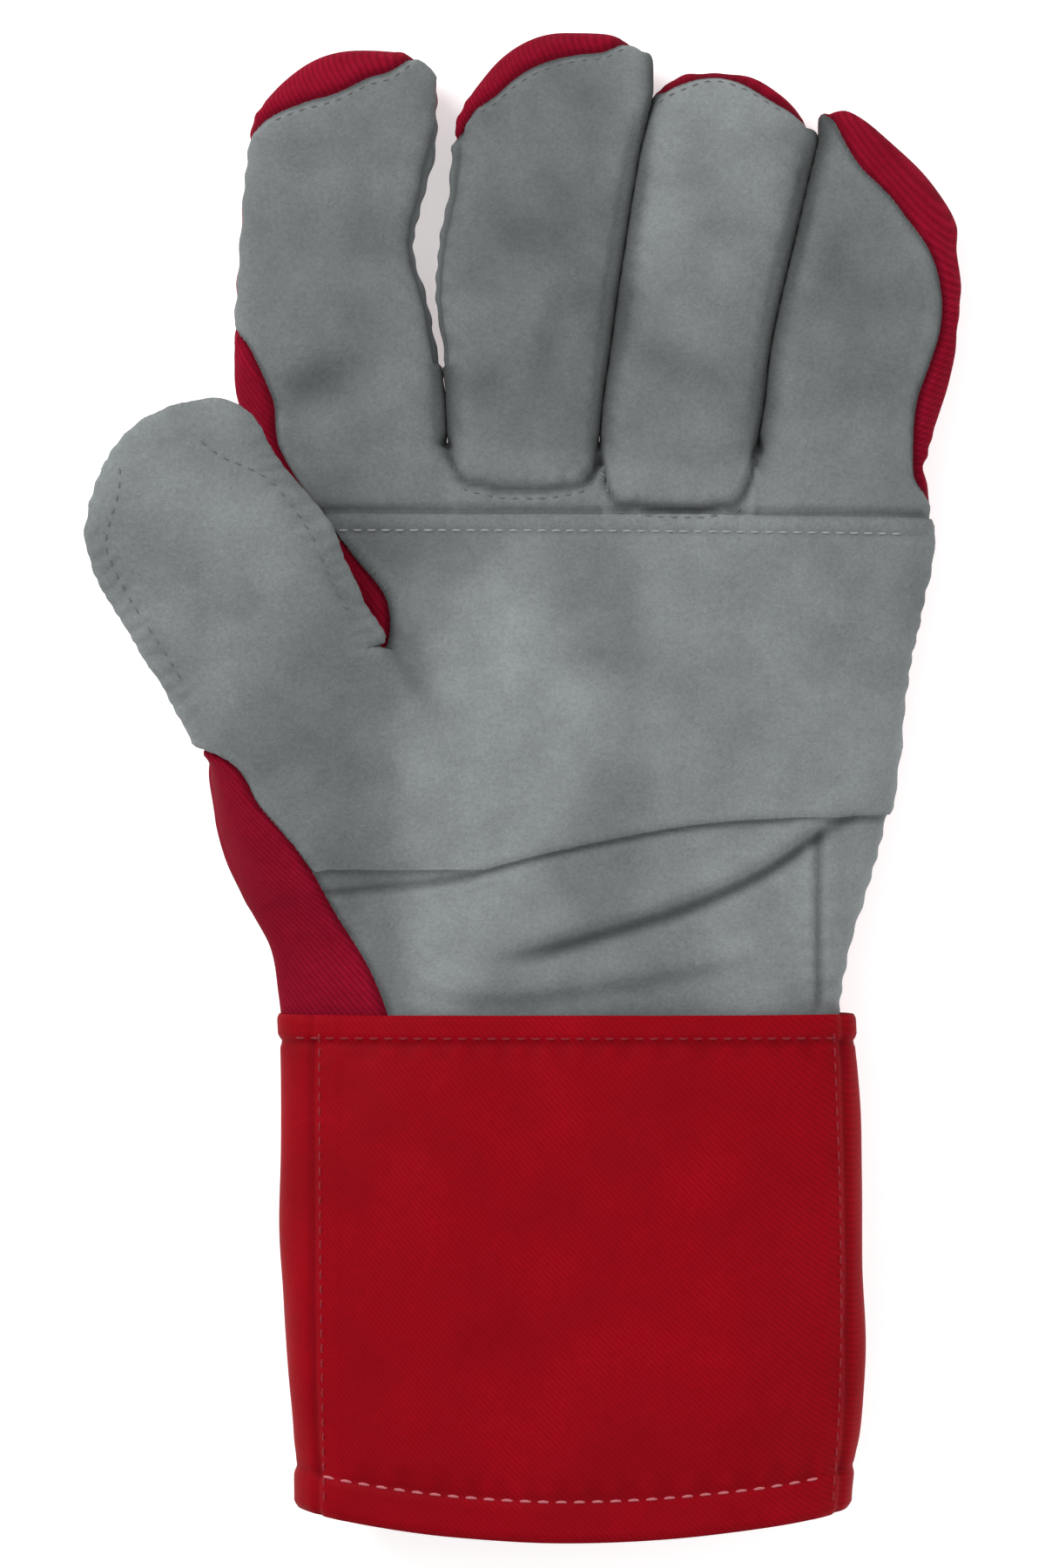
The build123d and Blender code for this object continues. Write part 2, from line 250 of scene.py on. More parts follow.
# %% The thumb as a field
joints = {joint["name"]: joint for joint in frame["record"]["behaviour"]["joints"]}
thumb_foot = np.array(joints["thumb_base_fold"]["pos_m"]) / MM
thumb_across = np.array(joints["thumb_base_fold"]["axis"], float)
thumb_along = np.array(joints["thumb_tip_fold"]["pos_m"]) / MM - thumb_foot
THUMB_TIP_FOLD = float(np.linalg.norm(thumb_along))
thumb_along /= THUMB_TIP_FOLD
thumb_up = np.cross(thumb_across, thumb_along)
THUMB_LEFT = [(-60, -16), (-40, -18), (-14, -20), (0, -22), (13, -24.4), (25, -25.2), (34, -24)]
THUMB_RIGHT = [(-60, 26), (-40, 30), (-28, 29), (-14, 26.2), (0, 24.4), (13, 24), (25, 20.9), (34, 18)]
THUMB_HALF = [(-60, 8.0), (-30, 9.0), (0, 8.3), (25, 7.8), (48, 7.0)]
THUMB_POWER = 2.5
THUMB_END_POWER = 2.2
THUMB_END_MIDDLE = 3.0
THUMB_END_START, THUMB_END_LENGTH = 28, 20.8
THUMB_ROOT_START, THUMB_ROOT_LENGTH = -40, 18
THUMB_FREE = -15
THUMB_GAP = 1.7
THUMB_MELT_AT = [-60, -40, -28, -17, -12]
THUMB_MELT = [20, 14, 8, 3, 0.3]


def in_thumb(x, y, z):
    """Distances across, along and out of the thumb, from the middle of its base fold."""
    dx, dy, dz = x - thumb_foot[0], y - thumb_foot[1], z - thumb_foot[2]
    return [dx * d[0] + dy * d[1] + dz * d[2] for d in (thumb_across, thumb_along, thumb_up)]


tx, ty, tz = in_thumb(gx, gy, gz)
left, right = curve(ty, THUMB_LEFT), curve(ty, THUMB_RIGHT)
lean = fade(ty, 27, 49)
middle = (left + right) / 2 * (1 - lean) + THUMB_END_MIDDLE * lean
across = np.abs(tx - middle) / ((right - left) / 2)
up = np.abs(tz) / curve(ty, THUMB_HALF)
ring = (across**THUMB_POWER + up**THUMB_POWER) ** (1 / THUMB_POWER)
past_end = (ty - THUMB_END_START) / THUMB_END_LENGTH
reach = np.maximum(np.maximum(past_end, (THUMB_ROOT_START - ty) / THUMB_ROOT_LENGTH), 0)
thumb = true_distance((ring**THUMB_END_POWER + reach**THUMB_END_POWER) ** (1 / THUMB_END_POWER) - 1)

gap = THUMB_GAP * fade(ty, THUMB_FREE, THUMB_FREE + 6)
palm = np.where(ty > THUMB_FREE, np.maximum(palm, gap - thumb), palm)
softness = np.interp(ty, THUMB_MELT_AT, THUMB_MELT)
whole = true_distance(melt(palm, thumb, softness))
print("thumb joined; skin field from", float(whole.min()), "to", float(whole.max()), "mm")

# %% [markdown]
# ## From field to mesh
#
# The skin lies where the field crosses zero. The method used here is called surface nets. Every grid cell
# that the skin passes through gets one vertex, at the mean of the places where the cell's edges cross zero,
# and neighbouring cells join up into faces. A few rounds of smoothing and moving back onto the field then
# take out the last trace of the grid.

# %% Surface nets
def skin_mesh(field):
    """Vertices, and four-sided faces as rows of vertex numbers, where a field crosses zero."""
    inside = field < 0
    cells = np.array(field.shape) - 1
    total = np.zeros((*cells, 3), np.float32)
    hits = np.zeros(cells, np.int32)
    for axis in range(3):
        others = [a for a in range(3) if a != axis]
        for da in (0, 1):
            for db in (0, 1):
                shift = [0, 0, 0]
                shift[others[0]], shift[others[1]] = da, db
                low = tuple(slice(shift[a], shift[a] + cells[a]) for a in range(3))
                shift[axis] = 1
                high = tuple(slice(shift[a], shift[a] + cells[a]) for a in range(3))
                a, b = field[low], field[high]
                crossed = inside[low] != inside[high]
                t = np.where(crossed, a / np.where(crossed, a - b, 1), 0)
                total[..., axis] += np.where(crossed, t, 0)
                total[..., others[0]] += da * crossed
                total[..., others[1]] += db * crossed
                hits += crossed
    number = np.full(cells, -1, np.int64)
    used = hits > 0
    number[used] = np.arange(used.sum())
    corner = np.argwhere(used)
    vertices = LOW + STEP * (corner + total[used] / hits[used][:, None])
    faces = []
    for axis in range(3):
        b, c = (axis + 1) % 3, (axis + 2) % 3
        low = [slice(1, -1)] * 3
        low[axis] = slice(0, -1)
        high = list(low)
        high[axis] = slice(1, None)
        start, end = inside[tuple(low)], inside[tuple(high)]
        edges = np.argwhere(start != end)
        edges[:, b] += 1
        edges[:, c] += 1
        ring = []
        for db, dc in ((1, 1), (0, 1), (0, 0), (1, 0)):
            cell = edges.copy()
            cell[:, b] -= db
            cell[:, c] -= dc
            ring.append(number[tuple(cell.T)])
        quad = np.stack(ring, 1)
        leaves = start[start != end]
        quad[~leaves] = quad[~leaves][:, ::-1]
        faces.append(quad)
    return vertices, np.concatenate(faces)


def sample(field, points):
    """The field's value at any points, mixed from the eight grid values around each."""
    place = (points - LOW) / STEP
    base = np.clip(np.floor(place).astype(int), 0, np.array(field.shape) - 2)
    t = np.clip(place - base, 0, 1)
    value = 0
    for dx in (0, 1):
        for dy in (0, 1):
            for dz in (0, 1):
                share = np.ones(len(points))
                for axis, d in enumerate((dx, dy, dz)):
                    share = share * (t[:, axis] if d else 1 - t[:, axis])
                value = value + share * field[base[:, 0] + dx, base[:, 1] + dy, base[:, 2] + dz]
    return value


def neighbours_mean(points, faces):
    """Each vertex's mean over the corners next to it."""
    total = np.zeros_like(points)
    count = np.zeros(len(points))
    for i in range(faces.shape[1]):
        for j in (i - 1, (i + 1) % faces.shape[1]):
            for axis in range(3):
                total[:, axis] += np.bincount(faces[:, i], points[faces[:, j], axis], len(points))
            count += np.bincount(faces[:, i], minlength=len(points))
    return total / np.maximum(count, 1)[:, None]


def normals_of(points, triangles):
    """Smooth normals: each vertex's mean over its triangles, larger ones counting more."""
    a, b, c = (points[triangles[:, i]] for i in range(3))
    face = np.cross(b - a, c - a)
    normal = np.zeros_like(points)
    for i in range(3):
        for axis in range(3):
            normal[:, axis] += np.bincount(triangles[:, i], face[:, axis], len(points))
    return normal / np.maximum(np.linalg.norm(normal, axis=1), 1e-9)[:, None]


SMOOTHING_ROUNDS = 4
skin, quads = skin_mesh(whole)
slope = np.gradient(whole, STEP)
edge = skin[:, 1] < LOW[1] + 1.5 * STEP
for turn in range(SMOOTHING_ROUNDS):
    relaxed = skin * 0.5 + neighbours_mean(skin, quads) * 0.5
    pull = np.stack([sample(g, relaxed) for g in slope], 1)
    pull /= np.maximum(np.linalg.norm(pull, axis=1), 1e-6)[:, None]
    relaxed -= pull * np.clip(sample(whole, relaxed), -1, 1)[:, None]
    skin = np.where(edge[:, None], skin, relaxed)
triangles = np.concatenate([quads[:, [0, 1, 2]], quads[:, [0, 2, 3]]])
outward = normals_of(skin, triangles)
print("skin of", len(skin), "vertices,", len(triangles), "triangles")

# %% [markdown]
# ## Where the panels meet
#
# The grey leather covers the front, and the red cotton covers the back and reaches round to the front at
# the fingertips, beside the little finger, beside the index finger and beside the wrist. Each of those
# borders is one line seen from above. A number for every vertex, positive on the leather and negative on
# the cotton, holds them all at once: it is the smallest of the distances to each border.

# %% Borders between leather and cotton
x, y, z = skin.T
tx, ty, tz = in_thumb(x, y, z)
on_thumb = (sample(thumb, skin) < sample(palm, skin)) & (ty > THUMB_FREE)
y_hand = np.where(on_thumb, 0.0, y)
WELL_INSIDE = 50.0
SEAM_AT_Y = [-45, 0, 50, 72, 110, 150]
SEAM_Z = [14, 12.5, 12, 10, 9.6, 8.4]
STRIP_HALF = 4

WRIST_BORDER = [
    (-66, -27), (-47.5, -30.8), (-40, -34), (-28, -41.4), (-15, -48.8), (-5, -57.4), (6, -66),
    (14, -84),
]
INDEX_BORDER = [
    (31, -30), (36, -29.6), (41, -30.5), (50, -37.5), (57, -43.3), (66, -50), (74, -54.2), (84, -55.5),
    (92, -58.8), (98, -62.6), (106, -74),
]
LITTLE_BORDER = [
    (60, 93), (66, 86.8), (72, 85.6), (80, 85.7), (86, 86.8), (92, 88.8), (98, 90.8), (104, 91.7),
    (112, 90.8), (118, 88.4), (124, 84.2), (130, 79.5), (136, 73.6), (142, 70), (150, 67),
]
TIP_BORDER = {
    "index": [
        (-64, 140), (-57.4, 146.3), (-50, 149.6), (-41, 152.2), (-34.5, 155.4), (-29, 157.2),
        (-25.5, 160), (-22, 165),
    ],
    "middle": [
        (-18, 138), (-12.6, 147.2), (-6.6, 151.6), (-1.6, 155.8), (4.5, 159), (11.4, 160.8),
        (18, 161.8), (22, 164), (30, 172),
    ],
    "ring": [
        (22, 143.6), (28, 150.8), (35.5, 155.0), (41, 156.6), (47, 155.2), (54, 151.2), (61.2, 146.6),
        (66, 142),
    ],
    "little": [(50, 190), (96, 190)],
}


def between_fingers(at_y):
    """The three lines between the four fingers, seen from above."""
    first = (curve(at_y, INDEX_RIGHT) + curve(at_y, MIDDLE_LEFT)) / 2
    return [first, curve(at_y, MIDDLE_RING), curve(at_y, RING_LITTLE)]


lines = between_fingers(y)
finger_number = sum((x > line).astype(int) for line in lines)
tip = np.select([finger_number == i for i in range(4)], [curve(x, TIP_BORDER[n]) - y for n in NAMES])
beside_index = np.maximum(x - curve(y, INDEX_BORDER), 31 - y)
left_side = np.where(y < 22, x - curve(y, WRIST_BORDER), beside_index)
right_side = np.where(y > 60, curve(y, LITTLE_BORDER) - x, WELL_INSIDE)
plan = np.minimum(np.minimum(tip, left_side), right_side)

finger_end = np.array([FINGERS[n]["end"][1] for n in NAMES])[finger_number]
seam_z = np.interp(y, SEAM_AT_Y, SEAM_Z)
strip = fade(np.min([np.abs(x - line) for line in lines], 0), 13, 8) * fade(y, 62, 72)
strip *= fade(finger_end - y, 3, 24)
seam_z += 9 * fade(y, -28, -4) * fade(y, 40, 30) * fade(x, -36, -46)
leather = np.where(on_thumb, tz, melt(z - seam_z + STRIP_HALF * strip, plan, 4.0))
above_strip = np.where(on_thumb, 5.0, z - seam_z - STRIP_HALF * strip)
print("leather covers", round(float((leather > 0).mean()) * 100), "% of the vertices")

# %% [markdown]
# The palm has a second layer of the same leather, the patch, which takes the wear. It runs from a stitched
# edge under the fingers to a slanting edge above the wrist, and over the ball of the thumb without a break.

# %% Borders of the palm patch
PATCH_TOP = [(-50, 59.3), (20, 59.0), (90, 58.4)]
PATCH_LOW = [
    (-60, -24), (-42.4, -22.8), (-19.6, -20.3), (7, -13.9), (37.4, -8.2), (72.6, -6.3), (90, -5.4),
]
patch = np.minimum(y - curve(x, PATCH_LOW), curve(x, PATCH_TOP) - y)
patch = np.where(on_thumb, 20.0, patch)
edge_drop = fade(leather, 0, 2.6)
raised = 1.2 * (0.5 + 0.5 * fade(patch, 0, 1.5)) * (0.25 + 0.75 * edge_drop)
print("patch covers", round(float(((patch > 0) & (leather > 0)).mean()) * 100), "% of the vertices")

# %% [markdown]
# ## Seams, puckers and creases
#
# A sewn and turned seam is a valley with a soft shoulder on each side, and the thread gathers the leather
# into small puckers along it. A worn-in glove also has shallow dents across the fingers and a slanting fold
# above the wrist. All of these move the skin along its normals by up to two millimetres. The gentle
# unevenness of stuffed leather comes from a sum of a few sine waves in fixed directions, so it's the same
# each time.

# %% Helpers for relief
def ripple(points, length, seed):
    """Gentle unevenness between about -1 and 1, with waves of about the given length in millimetres."""
    chance = np.random.default_rng(seed)
    total = np.zeros(len(points))
    for _ in range(8):
        direction = chance.normal(size=3)
        direction /= np.linalg.norm(direction)
        wave = 2 * math.pi / (length * chance.uniform(0.7, 1.4))
        total += np.sin(points @ direction * wave + chance.uniform(0, 2 * math.pi))
    return total / 3.2


def seam_relief(distance, along, depth):
    """A valley along a seam with puckered shoulders beside it."""
    valley = -depth * bump(distance, 0, 1.1)
    phase = along * 2 * math.pi / 5.2 + 2.2 * np.sin(along / 6.1) + 1.7 * np.sin(along / 14.3)
    gather = 0.5 + 0.5 * np.sin(phase)
    shoulder = 0.5 * depth * bump(distance, 2.4, 1.5) * (1 - 0.8 * gather)
    return valley + shoulder


def crease(distance, depth, width, swell, swell_at, swell_reach):
    """A fold in the leather: a groove with a soft swelling beside it."""
    return -depth * bump(distance, 0, width) + swell * bump(distance, swell_at, swell_reach)


def dent(middle_x, middle_y, angle, length, width, depth):
    """A shallow oval hollow in the front, turned by an angle in degrees."""
    c, s = math.cos(math.radians(angle)), math.sin(math.radians(angle))
    u = (x - middle_x) * c + (y - middle_y) * s
    v = (y - middle_y) * c - (x - middle_x) * s
    return -depth * np.exp(-((u / length) ** 2) - (v / width) ** 2) * front


front = fade(z, seam_z, seam_z + 5) * ~on_thumb
along = 0.8 * y + 0.62 * x
broad = 0.32 * ripple(skin, 34, 1) + 0.14 * ripple(skin, 13, 2)
relief = seam_relief(np.abs(leather), along, 1.0)
relief += seam_relief(np.abs(above_strip), along, 0.8) * strip * (plan > 0)
print("seam relief up to", round(float(np.abs(relief).max()), 2), "mm")

# %% [markdown]
# The two middle fingers have fronts of their own, set into the palm with a U-shaped seam. The patch presses
# the leather down just outside its edges, and its stitches pull a shallow trough inside its upper edge.

# %% Relief on the palm and the fingers
U_SEAM = [(-17.5, 76), (-15, 69), (-9, 65.6), (0, 64.6), (8, 65.2), (14, 67.4), (16.5, 71)]
U_SEAM_RING = [(16.5, 70), (19, 63.6), (25, 61.2), (33, 60.4), (42, 61), (48, 64), (50.5, 71)]
U_SEAMS_MEET = 16.5
SMALL_STEP = 0.2


def u_line_at(at, ahead=0):
    """The height of the two U-shaped seams, at places across the glove or a little ahead of them."""
    return np.where(at < U_SEAMS_MEET, curve(at + ahead, U_SEAM), curve(at + ahead, U_SEAM_RING))


u_line = u_line_at(x)
u_reach = fade(x, -18, -16) * fade(x, 52, 50) * front
u_slope = (u_line_at(x, SMALL_STEP) - u_line) / SMALL_STEP
u_distance = np.abs(y - u_line) / np.hypot(1, u_slope)
relief += seam_relief(u_distance, x, 1.1) * u_reach * fade(y, 82, 76)
relief += 0.5 * bump(y - u_line, 4.5, 3.0) * u_reach

outside = -0.8 * bump(patch, -0.9, 1.0) * front * fade(leather, 0, 1.5)
trough = -0.35 * bump(curve(x, PATCH_TOP) - y, 3.6, 0.9) * front * fade(x, -46, -43)
relief += outside + trough

# Each dent: its middle, its angle in degrees, its length, its width and its depth
DENTS = [
    (-44, 88, 20, 10, 5, 1.5), (-46, 118, 25, 12, 6, 0.7), (-36, 101, -30, 9, 4, 0.5),
    (-1, 121, -35, 11, 5, 0.9), (6, 98, 75, 12, 3.5, 0.8), (-8, 88, 60, 8, 4, 0.6),
    (36, 90, -20, 13, 4.5, 1.1), (22, 103, 80, 9, 3.5, 0.9), (45, 122, -30, 9, 5, 0.5),
    (66, 112, 60, 11, 4, 0.8), (73, 88, -15, 12, 5, 0.7), (-26, 52, 5, 16, 7, 0.9),
    (-23, 24, -62, 13, 4.5, 1.1), (30, 32, 15, 26, 14, 0.5), (52, 8, -20, 20, 9, 0.4),
]
dents = sum(dent(*size) for size in DENTS)
broad += 1.25 * dents

# Fingers that touch press each other flat. The index and middle finger do so only at their foot.
PRESSED_OUT = 0.88
INDEX_LEAVES_Y = 92
FAR = 9.0
first_line = np.where(y < INDEX_LEAVES_Y, np.abs(x - lines[0]), FAR)
touching = np.min([first_line, np.abs(x - lines[1]), np.abs(x - lines[2])], 0)
pressed = fade(touching, 2.6, 1.3) * fade(y, 72, 78)
relief *= 1 - pressed
broad = broad * (1 - pressed) + PRESSED_OUT * pressed
print("relief on the palm up to", round(float(np.abs(relief).max()), 2), "mm")

# %% [markdown]
# Two folds slant across the front of the wrist, and a narrow strip is sewn on at its side. On the back, the
# elastic gathers the cotton into small pleats.

# %% Folds at the wrist
FOLD = [(-30, -38), (-1, -37), (18, -32), (37, -26), (52, -19), (66, -10), (80, -2)]
SECOND_FOLD = [(-40, -40), (-10, -47), (20, -44), (60, -36)]
SIDE_STRIP_X = 64.2
ELASTIC_Y = -28
fold = y - curve(x, FOLD)
relief += crease(fold, 1.6, 1.8, 1.1, 4.2, 3.4) * (fade(x, -8, 8) * fade(x, 76, 60) * front)
second = y - curve(x, SECOND_FOLD)
relief += crease(second, 0.6, 2.2, 0.4, 4, 3) * fade(x, -30, -10) * fade(x, 58, 35) * front
side_strip = fade(y, -52, -46) * fade(y, -8, -14) * front
relief += seam_relief(np.abs(x - SIDE_STRIP_X), y, 0.8) * side_strip

under = fade(z, seam_z, seam_z - 6) * ~on_thumb
gathers = np.sin(x * 2 * math.pi / 5.5 + 1.5 * np.sin(x / 9.0))
relief += (0.5 * gathers - 0.5) * bump(y, ELASTIC_Y, 6.5) * under
print("seams and folds between", round(float(relief.min()), 2), "and", round(float(relief.max()), 2), "mm")

# %% [markdown]
# The thumb's front and back are joined along both of its sides, and the seams are strongly gathered round
# the end.

# %% Relief on the thumb
thumb_middle = (curve(ty, THUMB_LEFT) + curve(ty, THUMB_RIGHT)) / 2
thumb_rim = np.where(on_thumb, np.abs(tx - thumb_middle), 0)
rim_share = fade(thumb_rim, 16, 20) * fade(tz, 0, 3) * on_thumb
rim_along = ty + 0.4 * np.abs(tx) + 1.2 * ripple(skin, 15, 5)
relief -= 0.22 * (0.5 + 0.5 * np.sin(rim_along * 2 * math.pi / 3.8)) * rim_share

FLOOR_CLEARANCE = 0.02
shaped = skin + outward * (relief + broad)[:, None]
shaped[:, 2] = np.maximum(shaped[:, 2], FLOOR_CLEARANCE)
outward = normals_of(shaped, triangles)
print("shaped skin", shaped.min(0).round(1), shaped.max(0).round(1))

# %% [markdown]
# Worn leather isn't one grey. The ball of the thumb, the finger roots and the wrist are darker, partly from
# wear and partly from painted shade, and the middle of the palm stays pale. A few tones, given at places on
# the glove, are mixed by how near they are.

# %% Tones of the leather, with painted shade
# Each entry: its place on the glove, and a grey level from 0 to 1, partly wear and partly painted shade
TONES_AND_PAINTED_SHADE = [
    (-40, 133, 0.16), (-42, 91, 0.155), (3, 130, 0.138), (1, 91, 0.142), (41, 130, 0.205), (35, 91, 0.16),
    (72, 114, 0.137), (68, 80, 0.16), (18, 65, 0.165), (-25, 66, 0.165), (60, 66, 0.175), (37, 35, 0.212),
    (-8, 10, 0.235), (56, 10, 0.20), (-48, 4, 0.142), (-71, 45, 0.195), (-80, 69, 0.19),
    (18, -38, 0.163), (55, -26, 0.215),
]
TONE_WIDTH, TONE_LENGTH = 12, 22
BETWEEN_FINGERS_PAINTED_SHADE = 0.78
DENT_PAINTED_SHADE = 0.2


def nearness(a, b):
    """How much a grey level given at (a, b) counts at each vertex."""
    return np.exp(-(((skin[:, 0] - a) / TONE_WIDTH) ** 2) - ((skin[:, 1] - b) / TONE_LENGTH) ** 2) + 1e-9


share = np.stack([nearness(a, b) for a, b, _ in TONES_AND_PAINTED_SHADE])
# Grey level mixed from the listed places: partly wear, partly painted shade
tone_and_painted_shade = (share * np.array([t for _, _, t in TONES_AND_PAINTED_SHADE])[:, None]).sum(0) / share.sum(0)
# Painted shade: the leather is darkened in the valleys between touching fingers.
tone_and_painted_shade *= 1 - BETWEEN_FINGERS_PAINTED_SHADE * bump(touching, 0, 2.4) * fade(y, 68, 76) * ~on_thumb
# Painted shade: the leather is darkened in the dents.
tone_and_painted_shade *= 1 - DENT_PAINTED_SHADE * np.clip(-dents, 0, 1.5)
print("tones from", round(float(tone_and_painted_shade.min()), 3), "to", round(float(tone_and_painted_shade.max()), 3))

# %% [markdown]
# ## Cutting the skin into panels
#
# The skin is now cut along every border. A triangle that a border crosses is split in three, with new
# vertices where the border passes, so each panel ends in a clean line and not in saw teeth. Every vertex
# carries a row of numbers with it: its place, its normal, and its distance to each border. A new vertex
# gets the mix of its two neighbours.
#
# Some cuts aren't seams. A finger bends at two joints, and a piece can only follow one, so each finger is
# also split halfway between its joints, where the leather doesn't bend. The normals are kept from the whole
# skin, so that split can't be seen.

# %% The cutting helper
COLUMNS = ["x", "y", "z", "px", "py", "pz", "nx", "ny", "nz"]
COLUMNS += ["leather", "above_strip", "patch", "raised", "ty", "on_thumb", "y_hand", "relief", "tone_and_painted_shade"]
REST, PLACE, NORMAL = slice(0, 3), slice(3, 6), slice(6, 9)
NEAREST = 0.1


def cut(rows, corners, distance):
    """Splits every triangle where a distance, one number a vertex, changes sign."""
    distance = np.where(np.abs(distance) < NEAREST, np.where(distance < 0, -NEAREST, NEAREST), distance)
    positive = distance > 0
    count = positive[corners].sum(1)
    mixed = (count == 1) | (count == 2)
    kept, split = corners[~mixed], corners[mixed]
    odd_is_positive = count[mixed] == 1
    odd = np.argmax(positive[split] == odd_is_positive[:, None], 1)
    line = np.arange(len(split))
    a, b, c = (split[line, (odd + i) % 3] for i in range(3))
    crossed = np.sort(np.concatenate([np.stack([a, b], 1), np.stack([a, c], 1)]), 1)
    edges, which = np.unique(crossed, axis=0, return_inverse=True)
    which = which.reshape(-1)
    d0, d1 = distance[edges[:, 0]], distance[edges[:, 1]]
    t = (d0 / (d0 - d1))[:, None]
    added = rows[edges[:, 0]] * (1 - t) + rows[edges[:, 1]] * t
    ab, ac = len(rows) + which[: len(a)], len(rows) + which[len(a) :]
    pieces = [np.stack(p, 1) for p in ((a, ab, ac), (ab, b, c), (ab, c, ac))]
    return np.concatenate([rows, added]), np.concatenate([kept, *pieces])


def column(rows, name):
    """One named column of the rows."""
    return rows[:, COLUMNS.index(name)]


painted = [leather, above_strip, patch, raised, ty, on_thumb, y_hand, relief, tone_and_painted_shade]
rows = np.column_stack([skin, shaped, outward, *painted])
corners = triangles
for name in ("leather", "above_strip", "patch"):
    rows, corners = cut(rows, corners, column(rows, name))
print("after the seams:", len(rows), "vertices,", len(corners), "triangles")

# %% [markdown]
# The next cuts are the ones that aren't seams.

# %% Splits between the joints
HAND_TOP_Y = 76.0
HAND_LOW_Y = -18.0
THUMB_START, THUMB_SPLIT = -8.0, 9.0
FINGER_SPLIT_Y = {"index": 105.0, "middle": 106.0, "ring": 104.5, "little": 102.5}


def numbers_of_finger(rows):
    """Which finger a row belongs to, from 0 for the index to 3 for the little finger."""
    return sum((column(rows, "x") > line).astype(int) for line in between_fingers(column(rows, "y")))


rows, corners = cut(rows, corners, column(rows, "y_hand") - HAND_TOP_Y)
rows, corners = cut(rows, corners, column(rows, "y_hand") - HAND_LOW_Y)
splits = np.array([FINGER_SPLIT_Y[n] for n in NAMES])
rows, corners = cut(rows, corners, column(rows, "y_hand") - splits[numbers_of_finger(rows)])
for place in (THUMB_START, THUMB_SPLIT):
    thumb_only = np.where(column(rows, "on_thumb") > 0.5, column(rows, "ty") - place, -1.0)
    rows, corners = cut(rows, corners, thumb_only)
print("after the splits:", len(rows), "vertices,", len(corners), "triangles")

# %% [markdown]
# Now every triangle lies in one panel only, and its middle says which.

# %% Name every triangle
centre = rows[corners].mean(1)
value = {name: centre[:, i] for i, name in enumerate(COLUMNS)}
is_thumb = (value["on_thumb"] > 0.5) & (value["ty"] > THUMB_START)
is_finger = ~is_thumb & (value["y_hand"] > HAND_TOP_Y)
is_wrist = ~is_thumb & (value["y_hand"] < HAND_LOW_Y) & (value["ty"] < THUMB_START)
is_hand = ~(is_thumb | is_finger | is_wrist)
is_back = (value["leather"] < 0) & ~((value["on_thumb"] > 0.5) & (value["ty"] < THUMB_START))
is_strip = ~is_back & (value["above_strip"] < 0) & ~is_thumb
is_front = ~is_back & ~is_strip
is_patch = is_front & (value["patch"] > 0)
whose = numbers_of_finger(centre)
for label, mask in (("thumb", is_thumb), ("finger", is_finger), ("hand", is_hand), ("wrist", is_wrist)):
    print(label, int(mask.sum()), "triangles")

# %% [markdown]
# ## From a panel to a piece
#
# Leather has a thickness, and each panel is a piece of its own. A piece is made from the panel's triangles
# three times over: once as the outer face, once as the inner face pushed back by the thickness, and once as
# the narrow edge between the two. Each piece also remembers where its points are in the resting glove, so
# that the grain of the leather stays put when a finger bends.

# %% The piece maker
PANEL_THICKNESS = 1.2
made = {}


def edge_loops(corners):
    """The edges that only one triangle uses, in that triangle's direction."""
    sides = np.concatenate([corners[:, [0, 1]], corners[:, [1, 2]], corners[:, [2, 0]]])
    key = np.sort(sides, 1) @ np.array([1, len(corners) * 3 + 1])
    _, first, count = np.unique(key, return_index=True, return_counts=True)
    return sides[first[count == 1]]


def make_piece(name, outer, inner, normal, corners, rest, painted):
    """A closed piece between an outer and an inner surface, both in millimetres."""
    used, local = np.unique(corners, return_inverse=True)
    local = local.reshape(-1, 3)
    n = len(used)
    points = np.concatenate([outer[used], inner[used]]) * MM
    rim = edge_loops(local)
    edge = np.stack([rim[:, 1], rim[:, 0], rim[:, 0] + n, rim[:, 1] + n], 1)
    flat = np.cross(points[edge[:, 1]] - points[edge[:, 0]], points[edge[:, 3]] - points[edge[:, 0]])
    flat /= np.maximum(np.linalg.norm(flat, axis=1), 1e-12)[:, None]
    corner_list = np.concatenate([local.ravel(), (local[:, ::-1] + n).ravel(), edge.ravel()])
    sizes = np.concatenate([np.full(2 * len(local), 3), np.full(len(edge), 4)])
    mesh = bpy.data.meshes.new(name)
    mesh.vertices.add(len(points))
    mesh.vertices.foreach_set("co", points.ravel())
    mesh.loops.add(len(corner_list))
    mesh.loops.foreach_set("vertex_index", corner_list.astype(np.int32))
    mesh.polygons.add(len(sizes))
    starts = np.concatenate([[0], np.cumsum(sizes)[:-1]])
    mesh.polygons.foreach_set("loop_start", starts.astype(np.int32))
    mesh.update(calc_edges=True)
    mesh.polygons.foreach_set("use_smooth", np.ones(len(sizes), bool))
    facing = normal[used]
    soft = np.concatenate([facing[local.ravel()], -facing[local[:, ::-1].ravel()], np.repeat(flat, 4, 0)])
    mesh.normals_split_custom_set(soft)
    kept = mesh.attributes.new("rest", "FLOAT_VECTOR", "POINT")
    kept.data.foreach_set("vector", np.concatenate([rest[used], rest[used]]).ravel() * MM)
    for label, values in painted.items():
        kept = mesh.attributes.new(label, "FLOAT", "POINT")
        kept.data.foreach_set("value", np.concatenate([values[used], values[used]]).astype(np.float32))
    return link_piece(name, mesh)


def link_piece(name, mesh):
    """Puts a mesh in the scene as a named piece."""
    piece = bpy.data.objects.new(name, mesh)
    bpy.context.scene.collection.objects.link(piece)
    made[name] = piece
    return piece


def painted_on(rows):
    """The two numbers that a finish needs at every point: how deep in a seam it is, and its grey level,
    which is partly wear and partly painted shade.
    """
    return {"depth": column(rows, "relief"), "tone_and_painted_shade": column(rows, "tone_and_painted_shade")}


